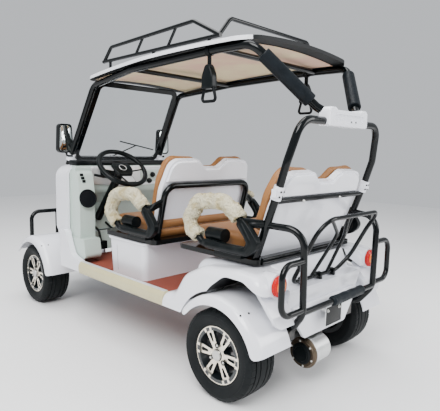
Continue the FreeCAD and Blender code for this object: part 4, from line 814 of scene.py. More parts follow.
# %% Foam wraps
foam_ivory = Finish("foam_ivory", IOR=1.4, Specular_IOR_Level=0.35)
stain = foam_ivory.cloud(16, detail=5, roughness=0.6)
film_fold = foam_ivory.cells(75, feature="DISTANCE_TO_EDGE", at=foam_ivory.stretched((1.6, 0.7, 1.0)))
foam_ivory.feed("Base Color", foam_ivory.blend(
    stain.fade(0.42, 0.66) * 0.8, (0.74, 0.68, 0.49, 1), (0.50, 0.40, 0.18, 1)))
foam_ivory.feed("Roughness", 0.42 + stain * 0.2)
foam_ivory.bump(film_fold.fade(0.0, 0.3) * 1.6 + foam_ivory.cloud(120, detail=3), 0.9, 0.004)


def crumpled(node, finish, voxel, lump, crease):
    """Copy of a node with its skin pushed in and out at random."""
    obj = piece(node + "_skin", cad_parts[node].data.copy(), finish)
    remeshed(obj, voxel)
    mesh = obj.data
    normals = [vertex.normal.copy() for vertex in mesh.vertices]
    for vertex, normal in zip(mesh.vertices, normals):
        place = vertex.co
        broad = noise.noise(place * 26)
        fold = abs(noise.noise(Vector((place.x * 60, place.y * 26, place.z * 60))))
        fine = noise.noise(place * 190)
        vertex.co = place + normal * (broad * lump - fold * crease + fine * crease * 0.25)
    smooth_skin(mesh, finish)
    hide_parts(node)
    return obj


wraps = crumpled("armrest_wraps", foam_ivory, voxel=0.005, lump=0.008, crease=0.016)
print("wraps:", len(wraps.data.vertices), "points")

# %% [markdown]
# ## Padded sleeve
# A sleeve of dark vinyl is laced round the crossbar of the guard. It is swept along the bar, puckered where
# it is pulled tight, with a narrow band near each end and a raised seam along its length.

# %% Padded sleeve on the guard
sleeve_vinyl = Finish("sleeve_vinyl", IOR=1.45, Specular_IOR_Level=0.15)
rubbed = sleeve_vinyl.cloud(24, detail=5)
sleeve_vinyl.feed("Base Color", sleeve_vinyl.blend(
    rubbed, (0.002, 0.004, 0.006, 1), (0.009, 0.013, 0.017, 1)))
sleeve_vinyl.feed("Roughness", 0.38 + rubbed * 0.2)
sleeve_grain = sleeve_vinyl.cells(420, feature="SMOOTH_F1") + sleeve_vinyl.cloud(60, detail=4) * 1.5
sleeve_vinyl.bump(sleeve_grain, 0.3, 0.0012)
SLEEVE_START, SLEEVE_LENGTH, SLEEVE_STEPS = (-338, 91, 480), 312, 80
BAR_HOLD, PADDING, PUCKER = 0.0165, 0.0085, 0.0026
BAND_RISE, SEAM_RISE, SEAM_ANGLE = 0.0018, 0.0022, 0.7


def puckered(share, angle):
    """Radius of the sleeve: closed over the bar at its ends, with small waves and a raised seam."""
    end = min(share, 1 - share)
    closing = BAR_HOLD + PADDING * min(1, end * 22) ** 0.5
    spot = Vector((share * 6, math.cos(angle) * 1.1, math.sin(angle) * 1.1))
    wave = PUCKER * noise.noise(spot) * min(1, end * 12) + (BAND_RISE if 0.02 < end < 0.05 else 0)
    seam = SEAM_RISE if abs(angle - SEAM_ANGLE) < 0.16 and end > 0.02 else 0
    return closing + wave + seam


sleeve_path = []
for step in range(SLEEVE_STEPS + 1):
    x, y, z = SLEEVE_START
    sleeve_path.append(from_axle(x, y - step * SLEEVE_LENGTH / SLEEVE_STEPS, z))
sleeve_mesh = sweep("guard_sleeve", sleeve_path, 0, 40, puckered)
guard_sleeve = piece("guard_sleeve", sleeve_mesh, sleeve_vinyl, sharp=60)
print("guard sleeve", round((sleeve_path[0] - sleeve_path[-1]).length, 3), "m long")

# %% [markdown]
# ## Roof liner
# Under the roof hangs a thin tan cloth, stretched between the rails and held at its rims. Its height is read
# from the roof's own underside by a ray, a few millimetres are taken off, and shallow waves run between the
# bars, as where real cloth was pulled by hand.

# %% Roof liner
THREAD_SPACING = 0.0022
liner_cloth = Finish("liner_cloth", IOR=1.4, Specular_IOR_Level=0.2)
glow = liner_cloth.cloud(3.2, detail=3)
threads = liner_cloth.lines("X", THREAD_SPACING) + liner_cloth.lines("Y", THREAD_SPACING)
liner_cloth.feed("Base Color", liner_cloth.blend(
    glow.fade(0.35, 0.65), (0.74, 0.50, 0.38, 1), (0.80, 0.68, 0.44, 1)))
liner_cloth.feed("Roughness", 0.75 + glow * 0.15)
liner_cloth.bump(threads, 0.25, 0.0006)
ROOF_LOW, ROOF_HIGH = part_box("roof_panel")
LINER_INSET = 0.085
LINER_LOW, LINER_HIGH = ROOF_LOW[0] + LINER_INSET, ROOF_HIGH[0] - LINER_INSET
LINER_HALF = ROOF_HIGH[1] - LINER_INSET
LINER_STEPS = (60, 44)
LINER_GAP, LINER_SAG, LINER_WAVE = 0.004, 0.004, 0.0016


def roof_underside(x, y):
    """Height of the roof's lower face over a place, found by a ray from below."""
    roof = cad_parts["roof_panel"]
    hit, place, _, _ = roof.ray_cast(Vector((x, y, 1.3)), Vector((0, 0, 1)))
    return place.z if hit else None


def liner_mesh():
    """Grid that hangs a few millimetres below the roof, with shallow waves."""
    columns, rows = LINER_STEPS
    points = []
    for row in range(rows + 1):
        across = -LINER_HALF + 2 * LINER_HALF * row / rows
        for column in range(columns + 1):
            along = LINER_LOW + (LINER_HIGH - LINER_LOW) * column / columns
            edge = min(column, columns - column, row, rows - row)
            sag = LINER_GAP + LINER_SAG * min(1, edge / 6)
            wave = LINER_WAVE * math.sin(along / 0.038 + 2 * math.sin(across / 0.17)) * min(1, edge / 3)
            points.append(Vector((along, across, roof_underside(along, across) - sag + wave)))
    return mesh_of("roof_liner", points, grid_faces(rows, columns))


liner = piece("roof_liner", liner_mesh(), liner_cloth)
thick = liner.modifiers.new("thick", "SOLIDIFY")
thick.thickness = 0.0012
print("liner", round(liner.dimensions.x, 3), "by", round(liner.dimensions.y, 3))

# %% [markdown]
# ## Roof edge
# The roof is a white shell, and white also on the rims along its sides. Its underside and its front and rear
# rims are black. Which way a face looks is read in the shader, so one finish carries both colours.

# %% Roof finish
roof_shell = Finish("roof_shell", IOR=1.5, Specular_IOR_Level=0.3, Coat_Roughness=0.08)
looks_up = roof_shell.facing("Z")
side_rim = roof_shell.facing("Y").absolute().above(0.5) * looks_up.above(-0.3)
white_side = 1 - (1 - looks_up.above(0.05)) * (1 - side_rim)
chalk = roof_shell.cloud(5, detail=6, roughness=0.6)
chalky_white = roof_shell.blend(chalk, (0.84, 0.85, 0.89, 1), (0.76, 0.77, 0.80, 1))
roof_shell.feed("Base Color", roof_shell.blend(white_side, (0.003, 0.004, 0.005, 1), chalky_white))
roof_shell.feed("Coat Weight", white_side * 0.4)
roof_shell.feed("Roughness", 0.58 - white_side * 0.38 + chalk * 0.12)
roof_shell.bump(roof_shell.cloud(40, detail=3), 0.06, 0.002)
paint("roof_panel", roof_shell)
print("roof: white above and along its sides, black below")

# %% [markdown]
# ## Rims
# The flat faces of the spokes and a thin ring on the flange are machined bright, and all else stays black.
# Both come from one casting, so one finish carries both looks. It asks which way the surface faces, how far
# out it lies, and, on the flange, whether a spoke runs out there: spokes repeat six times round the wheel.

# %% Rim finish
SPOKES = 6
SPOKE_REACH, RING_START = 0.1215, 0.1385
MACHINED_DEPTH = 0.010


def spoke_level(name):
    """How far from the cart's middle plane the machined faces of a rim start."""
    return abs(hub_face(name, 1 if name.endswith("left") else -1)) - MACHINED_DEPTH


def rim_finish(name):
    """Black casting with machined spoke faces and a bright ring on its flange."""
    finish = Finish("rim_alloy_" + name, IOR=1.6, Coat_Weight=0.3, Coat_Roughness=0.05)
    centre = WHEELS[name]
    flat = finish.facing("Y").absolute().above(0.75)
    outer = finish.axis("Y").absolute().above(spoke_level(name))
    ahead, up = finish.axis("X") - centre.x, finish.axis("Z") - centre.z
    reach = (ahead * ahead + up * up) ** 0.5
    turns = up.maths("ARCTAN2", up, ahead)
    sector = (turns * SPOKES + math.pi / 2).wave()
    on_spoke = sector.above(0.35) * (1 - sector.above(0.83))
    beyond = reach.above(SPOKE_REACH)
    bright = flat * outer * (1 - beyond * (1 - reach.above(RING_START)) * (1 - on_spoke))
    cut_lines = finish.cloud(220, detail=3, at=finish.stretched((1, 30, 1)))
    machined = finish.blend(cut_lines, (0.78, 0.70, 0.56, 1), (1.0, 0.94, 0.80, 1))
    finish.feed("Base Color", finish.blend(bright, (0.006, 0.010, 0.012, 1), machined))
    finish.feed("Metallic", bright * 0.8 + 0.1)
    finish.feed("Roughness", 0.32 - bright * 0.08 + cut_lines * 0.06)
    finish.bump(cut_lines, 0.05, 0.0004)
    return finish


for name in WHEELS:
    paint("rim_" + name, rim_finish(name))
print("spoke faces start", round(spoke_level("rear_left"), 4), "m out")

# %% [markdown]
# ## Tail lamps
# Each tail lamp has a red lens with an amber centre. The distance from the lamp's own middle splits the two
# colours. Fine rings are pressed into the lens, and the glints they catch are painted into the red as lighter
# and darker rings.


# %% Tail lamp finish
def lamp_reach(finish, node):
    """Distance from the middle of a round lamp, for a lamp on each side, and the lamp's radius."""
    low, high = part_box(node)
    radius = (high[2] - low[2]) / 2
    off_y = finish.axis("Y").absolute() - (high[1] - radius)
    off_z = finish.axis("Z") - (low[2] + high[2]) / 2
    return (off_y * off_y + off_z * off_z) ** 0.5, radius


RING_SPACING = 0.0035
tail_lens = Finish("tail_lens", IOR=1.49, Specular_IOR_Level=0.25, Coat_Weight=0.08, Coat_Roughness=0.03)
from_middle, tail_radius = lamp_reach(tail_lens, "tail_lamps")
amber = 1 - from_middle.fade(tail_radius * 0.66, tail_radius * 0.70)
rim_ring = from_middle.fade(tail_radius * 0.97, tail_radius * 0.99)
rings = (from_middle * (2 * math.pi / RING_SPACING)).wave()
# Painted glints: the rings are lighter and darker bands of red in the colour, besides their relief.
red_with_painted_glints = tail_lens.blend(rings * 0.5 + 0.5, (0.40, 0.002, 0.003, 1), (0.54, 0.004, 0.004, 1))
lens_colours = tail_lens.blend(amber, red_with_painted_glints, (0.90, 0.20, 0.012, 1))
tail_lens.feed("Base Color", tail_lens.blend(rim_ring, lens_colours, (0.42, 0.006, 0.006, 1)))
tail_lens.feed("Emission Color", tail_lens.blend(amber, (0.5, 0.0, 0.0, 1), (0.9, 0.25, 0.02, 1)))
tail_lens.shader.inputs["Emission Strength"].default_value = 0.15
tail_lens.feed("Roughness", 0.10 + rings.absolute() * 0.1)
tail_lens.bump(rings, 0.35, 0.0008)
paint("tail_lamps", tail_lens)
print("tail lamp radius", round(tail_radius, 4))

# %% [markdown]
# ## Head lamps
# The head lamps are split by the same distance: a pale bulb in the middle, a grey lens, and a black bezel.
# Upright flutes across the lens stand for the prisms that spread the light, and the light and shade on them
# is painted into the grey as lighter and darker stripes.

# %% Head lamp finish
FLUTE_SPACING = 0.009
head_lens = Finish("head_lens", IOR=1.49, Coat_Weight=0.8, Coat_Roughness=0.03)
from_bulb, head_radius = lamp_reach(head_lens, "headlamps")
bezel = from_bulb.above(head_radius * 0.86)
bulb = 1 - from_bulb.fade(head_radius * 0.22, head_radius * 0.34)
lens_flutes = head_lens.lines("Y", FLUTE_SPACING)
# Painted light and shade: the flutes are lighter and darker stripes of grey in the colour, besides their
# relief.
grey_with_painted_glints = head_lens.blend(lens_flutes * 0.5 + 0.5, (0.22, 0.24, 0.26, 1), (0.55, 0.58, 0.60, 1))
lens_and_bulb = head_lens.blend(bulb, grey_with_painted_glints, (0.85, 0.86, 0.84, 1))
head_lens.feed("Base Color", head_lens.blend(bezel, lens_and_bulb, (0.01, 0.011, 0.012, 1)))
head_lens.feed("Roughness", 0.08 + bezel * 0.25)
head_lens.bump(lens_flutes, 0.4, 0.001)
paint("headlamps", head_lens)
print("head lamp radius", round(head_radius, 4))

# %% [markdown]
# ## Dark wheel arches
# The rear body is white outside, but the walls and the roof of the wheel arches are bare black. Walls beside
# the wheel lie close to the middle of the cart, and the roof of an arch faces down, so the shader can tell
# both from the painted skin, which is the same as on the other panels.

# %% Arch finish
ARCH_WALL_Y, ARCH_HALF = 0.345, 0.22
arch_body = Finish("arch_body", IOR=1.5, Coat_Weight=0.5, Coat_Roughness=0.06)
near_middle = 1 - arch_body.axis("Y").absolute().above(ARCH_WALL_Y)
wall_side = arch_body.facing("Y").absolute().above(0.7) * near_middle
roof_side = 1 - arch_body.facing("Z").above(-0.3)
over_wheel = 1 - (arch_body.axis("X") - REAR_AXLE_X).absolute().above(ARCH_HALF)
bare = (1 - (1 - wall_side) * (1 - roof_side)) * over_wheel
skin, dust = white_skin(arch_body)
painted_skin = arch_body.blend(dust * 0.12, skin, DUST)
arch_body.feed("Base Color", arch_body.blend(bare, painted_skin, (0.004, 0.005, 0.006, 1)))
arch_body.feed("Roughness", 0.16 + dust * 0.14 + bare * 0.4)
arch_body.bump(arch_body.cloud(26, detail=2), 0.05, 0.002)
paint("rear_body", arch_body)
print("arches bare within", ARCH_HALF, "m of the axle")

# %% [markdown]
# ## Drive motor
# The motor's can is bright metal, and the thick flange at its open end is bronze. The flange is the outermost
# part of the same solid, so the distance across the cart tells the two apart.

# %% Motor finish
FLANGE_THICKNESS = 0.024
MOTOR_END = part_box("drive_motor")[1][1] - FLANGE_THICKNESS
motor_metal = Finish("motor_metal", IOR=1.6, Metallic=0.9)
flange = motor_metal.axis("Y").above(MOTOR_END)
fogged = motor_metal.cloud(14, detail=6, roughness=0.6)
bright_can = motor_metal.blend(fogged, (0.55, 0.57, 0.56, 1), (0.80, 0.81, 0.80, 1))
bronze = motor_metal.blend(fogged, (0.06, 0.045, 0.032, 1), (0.15, 0.115, 0.08, 1))
motor_metal.feed("Base Color", motor_metal.blend(flange, bright_can, bronze))
motor_metal.feed("Roughness", 0.24 + fogged * 0.2)
motor_metal.bump(motor_metal.cloud(320, detail=3), 0.15, 0.0006)
paint("drive_motor", motor_metal)
print("motor flange beyond y", round(MOTOR_END, 3))

# %% [markdown]
# ## Strut sleeves and hand grips
# The sleeves round the struts and the straps that hang from the roof are one part of the frame, yet not one
# look: the sleeves are dark vinyl pulled into pleats, and the straps are plain black. The straps hang further
# forward, so the distance along the cart tells them apart.

# %% Hand grip finish
SLEEVE_END = from_axle(-40, 0, 0).x
grip_mix = Finish("grip_mix", IOR=1.45, Specular_IOR_Level=0.15)
hanging = grip_mix.axis("X").above(SLEEVE_END)
worn_grip = grip_mix.cloud(24, detail=5)
sleeve_tone = grip_mix.blend(worn_grip, (0.0018, 0.0032, 0.0046, 1), (0.007, 0.0102, 0.0135, 1))
grip_mix.feed("Base Color", grip_mix.blend(hanging, sleeve_tone, (0.003, 0.004, 0.005, 1)))
grip_mix.feed("Roughness", 0.36 + worn_grip * 0.2)
pleats = grip_mix.cloud(46, detail=4, at=grip_mix.stretched((2.2, 0.6, 1.4)))
grip_mix.bump(pleats, 0.7, 0.004)
paint("hand_grips", grip_mix)
print("sleeves end at x", round(SLEEVE_END, 3))

# %% [markdown]
# ## Armrest mouldings
# Below the foam each armrest is a hard black moulding: a flat band under the arm that turns up into a broad
# leg, and a flat arm from the leg's top to the seat's upright. The band's outline is drawn once, in the plane
# of the armrest, and used four times.

# %% Armrest mouldings
MOULDING = [
    (-33, 876), (-71, 911), (-116, 872), (-154, 830), (-174, 799), (-162, 764), (-120, 731), (-52, 724),
    (43, 725), (120, 734), (196, 744), (196, 762), (166, 778), (104, 772), (44, 765), (-62, 762),
    (-96, 774), (-106, 797), (-88, 820),
]
REST_PLANES = (0.458, 0.494)
FRONT_SHIFT = (760, -24)
STRAP_START = (-70, 474, 884)
STRAP_STATIONS = ((0, 25), (0.25, 23), (0.8, 21), (1, 20))
STRAP_THICKNESS = 0.014
SCREW_SPOTS, SCREW_Y = ((-20, 744), (118, 752)), 494.5
POSTS = {"front": (664, 372, 908), "rear": (-146, 412, 880)}


def rest_moulding(name, side, shift):
    """Band and leg, from the drawn outline."""
    inner, outer = REST_PLANES
    points = [from_axle(x + shift[0], side * inner * 1000, z + shift[1]) for x, z in MOULDING]
    board = plate(name, rounded_outline(points, 0.02), Vector((0, side * (outer - inner), 0)), 0.004)
    return piece(name, board, black_plastic)


def rest_strap(name, side, shift, post):
    """Flat arm from the leg to the upright."""
    start = Vector(STRAP_START) + Vector((shift[0], 0, shift[1]))
    run = Vector(post) - start
    upper = [start + run * share + Vector((0, 0, half)) for share, half in STRAP_STATIONS]
    lower = [start + run * share - Vector((0, 0, half)) for share, half in reversed(STRAP_STATIONS)]
    outline = [from_axle(point.x, side * point.y, point.z) for point in upper + lower]
    thickness = Vector((0, 0, 1)).cross(run).normalized() * STRAP_THICKNESS
    thickness.y *= side
    strap = plate(name, [point - thickness / 2 for point in outline], thickness, 0.003)
    return piece(name, strap, black_plastic)


for place, shift in (("front", FRONT_SHIFT), ("rear", (0, 0))):
    for word, side in SIDES:
        rest_moulding(f"rest_moulding_{place}_{word}", side, shift)
        rest_strap(f"rest_strap_{place}_{word}", side, shift, POSTS[place])
        spots = [from_axle(x + shift[0], side * SCREW_Y, z + shift[1]) for x, z in SCREW_SPOTS]
        bolts(f"rest_screws_{place}_{word}", spots, (0, side, 0), 0.004, black_plastic)
print("armrest mouldings: 4")

# %% [markdown]
# ## Speakers
# The pale green pod at each side of the footwell carries a round speaker. Its rear face slopes, so a small
# function turns a place across and a height into a point on that slope, and the switches use it too.

# %% Speakers on the pods
POD_FOOT, POD_TOP = (1350, 448), (1470, 1060)
POD_RUN = Vector((POD_TOP[0] - POD_FOOT[0], 0, POD_TOP[1] - POD_FOOT[1])).normalized()
POD_FACING = Vector((-POD_RUN.z, 0, POD_RUN.x))
SPEAKER_Y, SPEAKER_Z = 432, 866


def on_pod(y, z, out=0.0):
    """Point on the sloping rear face of a pod, at a height, so far out of it in millimetres."""
    share = (z - POD_FOOT[1]) / (POD_TOP[1] - POD_FOOT[1])
    place = Vector((POD_FOOT[0] + share * (POD_TOP[0] - POD_FOOT[0]), y, z)) + POD_FACING * out
    return from_axle(place.x, place.y, place.z)


def speaker(side):
    """Dished grille in a flat ring."""
    ring = [(-0.002, 0.066), (0.004, 0.066), (0.006, 0.064), (0.006, 0.059), (0.002, 0.056), (0.003, 0.038),
            (0.0045, 0.018), (0.005, 0)]
    return lathe("speaker", on_pod(side * SPEAKER_Y, SPEAKER_Z), POD_FACING, ring, 48)


speaker_cloth = Finish("speaker_cloth", IOR=1.4, Specular_IOR_Level=0.15)
holes = speaker_cloth.cells(330)
speaker_cloth.feed("Base Color", speaker_cloth.blend(
    holes, (0.0015, 0.002, 0.003, 1), (0.008, 0.0095, 0.012, 1)))
speaker_cloth.feed("Roughness", 0.6 + holes * 0.2)
speaker_cloth.bump(holes, 0.6, 0.001)
for word, side in SIDES:
    piece("speaker_" + word, speaker(side), speaker_cloth)
print("speakers on slopes of", round(math.degrees(math.asin(POD_RUN.x)), 1), "degrees")

# %% [markdown]
# ## Rocker switches
# Three rocker switches sit one below the other on the left pod. Each is a flat bezel with a raised key, which
# are two plates of different size on the same slope.


# %% Rocker switches
def rocker(y, z):
    """Rocker switch: a bezel with a raised key."""
    meshes = []
    for half_y, half_z, low, high in ((13, 9.5, -1, 3), (10, 7, 2, 7)):
        corners = [on_pod(y + dy, z + dz, low) for dy, dz in
                   ((-half_y, -half_z), (half_y, -half_z), (half_y, half_z), (-half_y, half_z))]
        meshes.append(plate("rocker", corners, POD_FACING * (high - low) / 1000, 0.0012))
    return joined("rocker", meshes)


SWITCHES = 3
FIRST_SWITCH, SWITCH_STEP = (462, 1032), (-7, -23)
rockers = [rocker(FIRST_SWITCH[0] + SWITCH_STEP[0] * number, FIRST_SWITCH[1] + SWITCH_STEP[1] * number)
           for number in range(SWITCHES)]
piece("dash_switches", joined("switches", rockers), black_plastic)
print("rocker switches:", SWITCHES)

# %% [markdown]
# ## Instrument board
# Behind the steering wheel runs a silver board with a dark dial, three dark knobs and a lid in the pale green
# of the pods, and a black pad tops it all below the glass. All but the knobs are boards with round corners,
# so one function makes them from their corners. The knobs come from the lathe, and the stalk is a swept bar.

# %% Satin silver finish
satin_silver = Finish("satin_silver", IOR=1.5, Metallic=0.55)
sheen = satin_silver.cloud(90, detail=3, at=satin_silver.stretched((1, 10, 1)))
satin_silver.feed("Base Color", satin_silver.blend(sheen, (0.66, 0.68, 0.69, 1), (0.86, 0.87, 0.87, 1)))
satin_silver.feed("Roughness", 0.26 + sheen * 0.14)
satin_silver.bump(sheen, 0.05, 0.0004)
print("finish:", satin_silver.material.name)


# %% Boards, knobs and stalk
def board(name, corners, thick, finish, rounding=0.02, bevel=0.003):
    """Panel across the cart from its corners in millimetres, facing the seats."""
    points = rounded_outline([from_axle(*corner) for corner in corners], rounding)
    return piece(name, plate(name, points, Vector((-thick / 1000, 0, 0)), bevel), finish)


board("instrument_board", [(1502, 372, 1088), (1502, -372, 1088), (1512, -350, 948), (1516, 40, 930),
                           (1512, 350, 960)], 9, satin_silver)
board("instrument_dial", [(1493, 300, 1076), (1493, 140, 1076), (1496, 150, 1004), (1496, 290, 1004)],
      5, black_plastic)
board("glove_lid", [(1506, -60, 1060), (1506, -330, 1060), (1512, -316, 968), (1514, -74, 962)],
      16, sage_plastic)
KNOB = [(0, 0.022), (0.004, 0.022), (0.005, 0.018), (0.018, 0.016), (0.020, 0.013), (0.0205, 0)]
knob_places = [from_axle(1490, -176, 1019), from_axle(1492, -146, 971), from_axle(1490, 88, 1020)]
knobs = joined("knobs", [lathe("knob", place, (-1, 0, 0.1), KNOB, 28) for place in knob_places])
piece("dash_knobs", knobs, black_plastic)
STALK_LINE = [(1372, 246, 1004), (1366, 300, 1012), (1360, 352, 1022), (1360, 420, 1036)]
stalk_path = softened_line([from_axle(*point) for point in STALK_LINE])


def stalk_radius(share, angle):
    """Thin stem that swells into a lever towards its outer end."""
    return 0.0055 + 0.004 * min(1, max(0, share - 0.55) * 6)


piece("column_stalk", sweep("stalk", stalk_path, 0, 16, stalk_radius), black_plastic)
board("dash_pad", [(1604, 486, 1096), (1604, -486, 1096), (1604, -486, 1132), (1604, 486, 1132)],
      104, black_plastic, rounding=0.012, bevel=0.008)
print("dash: board, dial, lid, knobs, stalk and pad")

# %% [markdown]
# ## Steering wheel
# The real wheel has a padded rim with thicker grips, a soft square hub, and three spokes with silver inserts,
# one at each side and one at the bottom. It is drawn in the wheel's own slanting plane: u to the left, v up,
# w towards the seat. The hub pad carries a plain satin ring.

# %% Steering wheel
HUB = from_axle(1318, 220, 1085)
COLUMN_SLOPE = math.radians(50)
TO_SEAT = Vector((-math.cos(COLUMN_SLOPE), 0, math.sin(COLUMN_SLOPE)))
WHEEL_UP = Vector((math.sin(COLUMN_SLOPE), 0, math.cos(COLUMN_SLOPE)))
STEER_RADIUS, STEER_GRIP, GRIP_SWELL = 0.174, 0.0165, 0.0018


def on_wheel(u, v, w):
    """Point in the wheel's plane, from millimetres."""
    return HUB + (Vector((0, 1, 0)) * u + WHEEL_UP * v + TO_SEAT * w) / 1000


def grip_swell(angle):
    """Extra thickness where hands hold the rim, above and below the level of the hub."""
    from_top = abs((angle + math.pi / 2) % (2 * math.pi) - math.pi)
    from_level = abs(math.pi / 2 - from_top)
    return GRIP_SWELL * math.exp(-((from_level - 0.7) / 0.22) ** 2)


def steering_rim():
    """Ring whose grip swells where hands hold it."""
    steps, sides = 96, 20
    points = []
    faces = []
    for step in range(steps):
        angle = 2 * math.pi * step / steps
        grip = (STEER_GRIP + grip_swell(angle)) * 1000
        here, there = step * sides, (step + 1) % steps * sides
        for side in range(sides):
            turn = 2 * math.pi * side / sides
            reach = STEER_RADIUS * 1000 + grip * math.cos(turn)
            points.append(on_wheel(reach * math.cos(angle), reach * math.sin(angle), grip * math.sin(turn)))
            beside = (side + 1) % sides
            faces.append((here + side, here + beside, there + beside, there + side))
    return mesh_of("steering_rim", points, faces)


def wheel_plate(corners, thick, rounding, bevel):
    """Board in the wheel's own plane, from its corners, with a thickness towards the seat."""
    points = rounded_outline([on_wheel(*corner) for corner in corners], rounding)
    return plate("wheel_plate", points, TO_SEAT * thick, bevel)


def three_spokes(side_spoke, low_spoke, thick, rounding, bevel):
    """One outline at the right and at the left, and another at the bottom, as boards."""
    outlines = [[(side * u, v, w) for u, v, w in side_spoke] for side in (-1, 1)] + [low_spoke]
    return [wheel_plate(outline, thick, rounding, bevel) for outline in outlines]


HUB_PAD = [(-66, 52, -30), (66, 52, -30), (82, -2, -30), (56, -70, -30), (-56, -70, -30), (-82, -2, -30)]
hub_pad = wheel_plate(HUB_PAD, 0.034, 0.022, 0.008)
arms = three_spokes([(40, 30, -26), (164, 22, -6), (164, -24, -6), (40, -28, -26)],
                    [(-48, -36, -26), (48, -36, -26), (36, -166, -6), (-36, -166, -6)], 0.013, 0.006, 0.003)
boss = lathe("boss", on_wheel(0, 0, -70), TO_SEAT, [(0, 0.018), (0.040, 0.018), (0.040, 0)], 32)
wheel = piece("steering_wheel_padded", joined("wheel", [steering_rim(), hub_pad, boss] + arms), black_plastic,
              "steering_wheel")
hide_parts("steering_wheel")
inserts = three_spokes([(80, 24, -9), (150, 18, 5), (150, -20, 5), (80, -22, -9)],
                       [(-42, -74, -10), (42, -74, -10), (31, -150, 5), (-31, -150, 5)],
                       0.0025, 0.005, 0.0008)
piece("wheel_inserts", joined("inserts", inserts), satin_silver, "steering_wheel")
HUB_RING = [(-0.001, 0.0285), (0.0012, 0.0285), (0.002, 0.0275), (0.0012, 0.0262), (-0.001, 0.0262)]
hub_ring = lathe("hub_ring", on_wheel(0, -2, 4), TO_SEAT, HUB_RING, 40)
piece("wheel_hub_ring", hub_ring, satin_silver, "steering_wheel")
print("steering wheel at", [round(value, 3) for value in HUB])

# %% [markdown]
# ## Mirrors
# The mirror glasses are thin polished plates set in the rear faces of their housings. A bare metal with
# hardly any roughness mirrors well enough, and a little haze keeps it from looking new.

# %% Mirror glass
mirror_glass = Finish("mirror_glass", IOR=1.5, Metallic=1.0)
haze = mirror_glass.cloud(12, detail=4)
mirror_glass.feed("Base Color", mirror_glass.blend(haze, (0.72, 0.78, 0.76, 1), (0.84, 0.88, 0.86, 1)))
mirror_glass.feed("Roughness", 0.03 + haze * 0.05)
MIRROR_X = 1700
MIRROR_OUTLINE = ((402, 1193), (503, 1193), (496, 1380), (414, 1380))
for word, side in SIDES:
    corners = [from_axle(MIRROR_X, side * y, z) for y, z in MIRROR_OUTLINE]
    glass = plate("glass", rounded_outline(corners, 0.03), Vector((-0.002, 0, 0)), 0.0006)
    piece("mirror_glass_" + word, glass, mirror_glass)
print("mirror glasses:", len(SIDES))

# %% [markdown]
# ## Licence plate
# The plate is blank: a dark board with a pale rim, hung on two bolts and held off the body by two spacers.
# The rim is a thin bar swept round the board's own outline.

# %% Licence plate
plate_black = Finish("plate_black", IOR=1.45, Specular_IOR_Level=0.25)
smudge = plate_black.cloud(26, detail=6, roughness=0.65)
plate_black.feed("Base Color", plate_black.blend(
    smudge.fade(0.4, 0.8), (0.003, 0.0035, 0.004, 1), (0.022, 0.022, 0.020, 1)))
plate_black.feed("Roughness", 0.3 + smudge * 0.3)
plate_black.bump(smudge, 0.15, 0.0008)
PLATE_X, PLATE_Y, PLATE_Z = -296, -4, 381
PLATE_HALF_WIDTH, PLATE_HALF_HEIGHT = 80, 53
PLATE_BOLTS_Y, PLATE_BOLTS_Z = (-55, 55), 412


def plate_corners(grow, x):
    """Corners of the plate, moved outwards by some millimetres, at a place along the cart."""
    across, up = PLATE_HALF_WIDTH + grow, PLATE_HALF_HEIGHT + grow
    return [from_axle(x, PLATE_Y + side * across, PLATE_Z + rise * up)
            for side, rise in ((-1, -1), (1, -1), (1, 1), (-1, 1))]


blank = plate("blank", rounded_outline(plate_corners(0, PLATE_X), 0.008), Vector((-0.002, 0, 0)), 0.0005)
piece("licence_plate", blank, plate_black)
rim_path = rounded_outline(plate_corners(-1.5, PLATE_X - 2), 0.008)
piece("licence_plate_rim", sweep("rim", rim_path + [rim_path[0]], 0.0022, 10), satin_silver)
spacers = [sweep("spacer", [from_axle(x, y, PLATE_BOLTS_Z) for x in (PLATE_X, -270, -255)], 0.006, 16)
           for y in PLATE_BOLTS_Y]
piece("plate_spacers", joined("spacers", spacers), cast_alloy)
plate_bolt_places = [from_axle(PLATE_X - 2.5, y, PLATE_BOLTS_Z) for y in PLATE_BOLTS_Y]
bolts("plate_bolts", plate_bolt_places, (-1, 0, 0), 0.009, cast_alloy)
print("plate", 2 * PLATE_HALF_WIDTH, "by", 2 * PLATE_HALF_HEIGHT, "mm")

# %% [markdown]
# ## Screws and bolts
# The fastenings that the eye can find hold the pillar clamps, the fenders, the crossbar and the lamp box.
# Those on sloping parts are set down by a ray, so that each lies on its surface.

# %% Screws and bolts
SMALL_BOLT = 0.0055
WHEELBASE = WHEELS["front_left"].x - REAR_AXLE_X
FENDER_SPOTS = ((-168, 530), (-160, 578))
FENDER_FACING = (-0.5, 0, 0.87)


def seated(node, origin, heading):
    """Where a line from a point first meets a node."""
    hit, place, _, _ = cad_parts[node].ray_cast(origin, Vector(heading).normalized())
    return place if hit else origin


def on_fender(node, side, ahead):
    """Two places on top of a fender whose wheel is so far ahead of the rear one."""
    above = [from_axle(x, side * y, 800) + Vector((ahead, 0, 0)) for x, y in FENDER_SPOTS]
    return [seated(node, place, (0, 0, -1)) for place in above]


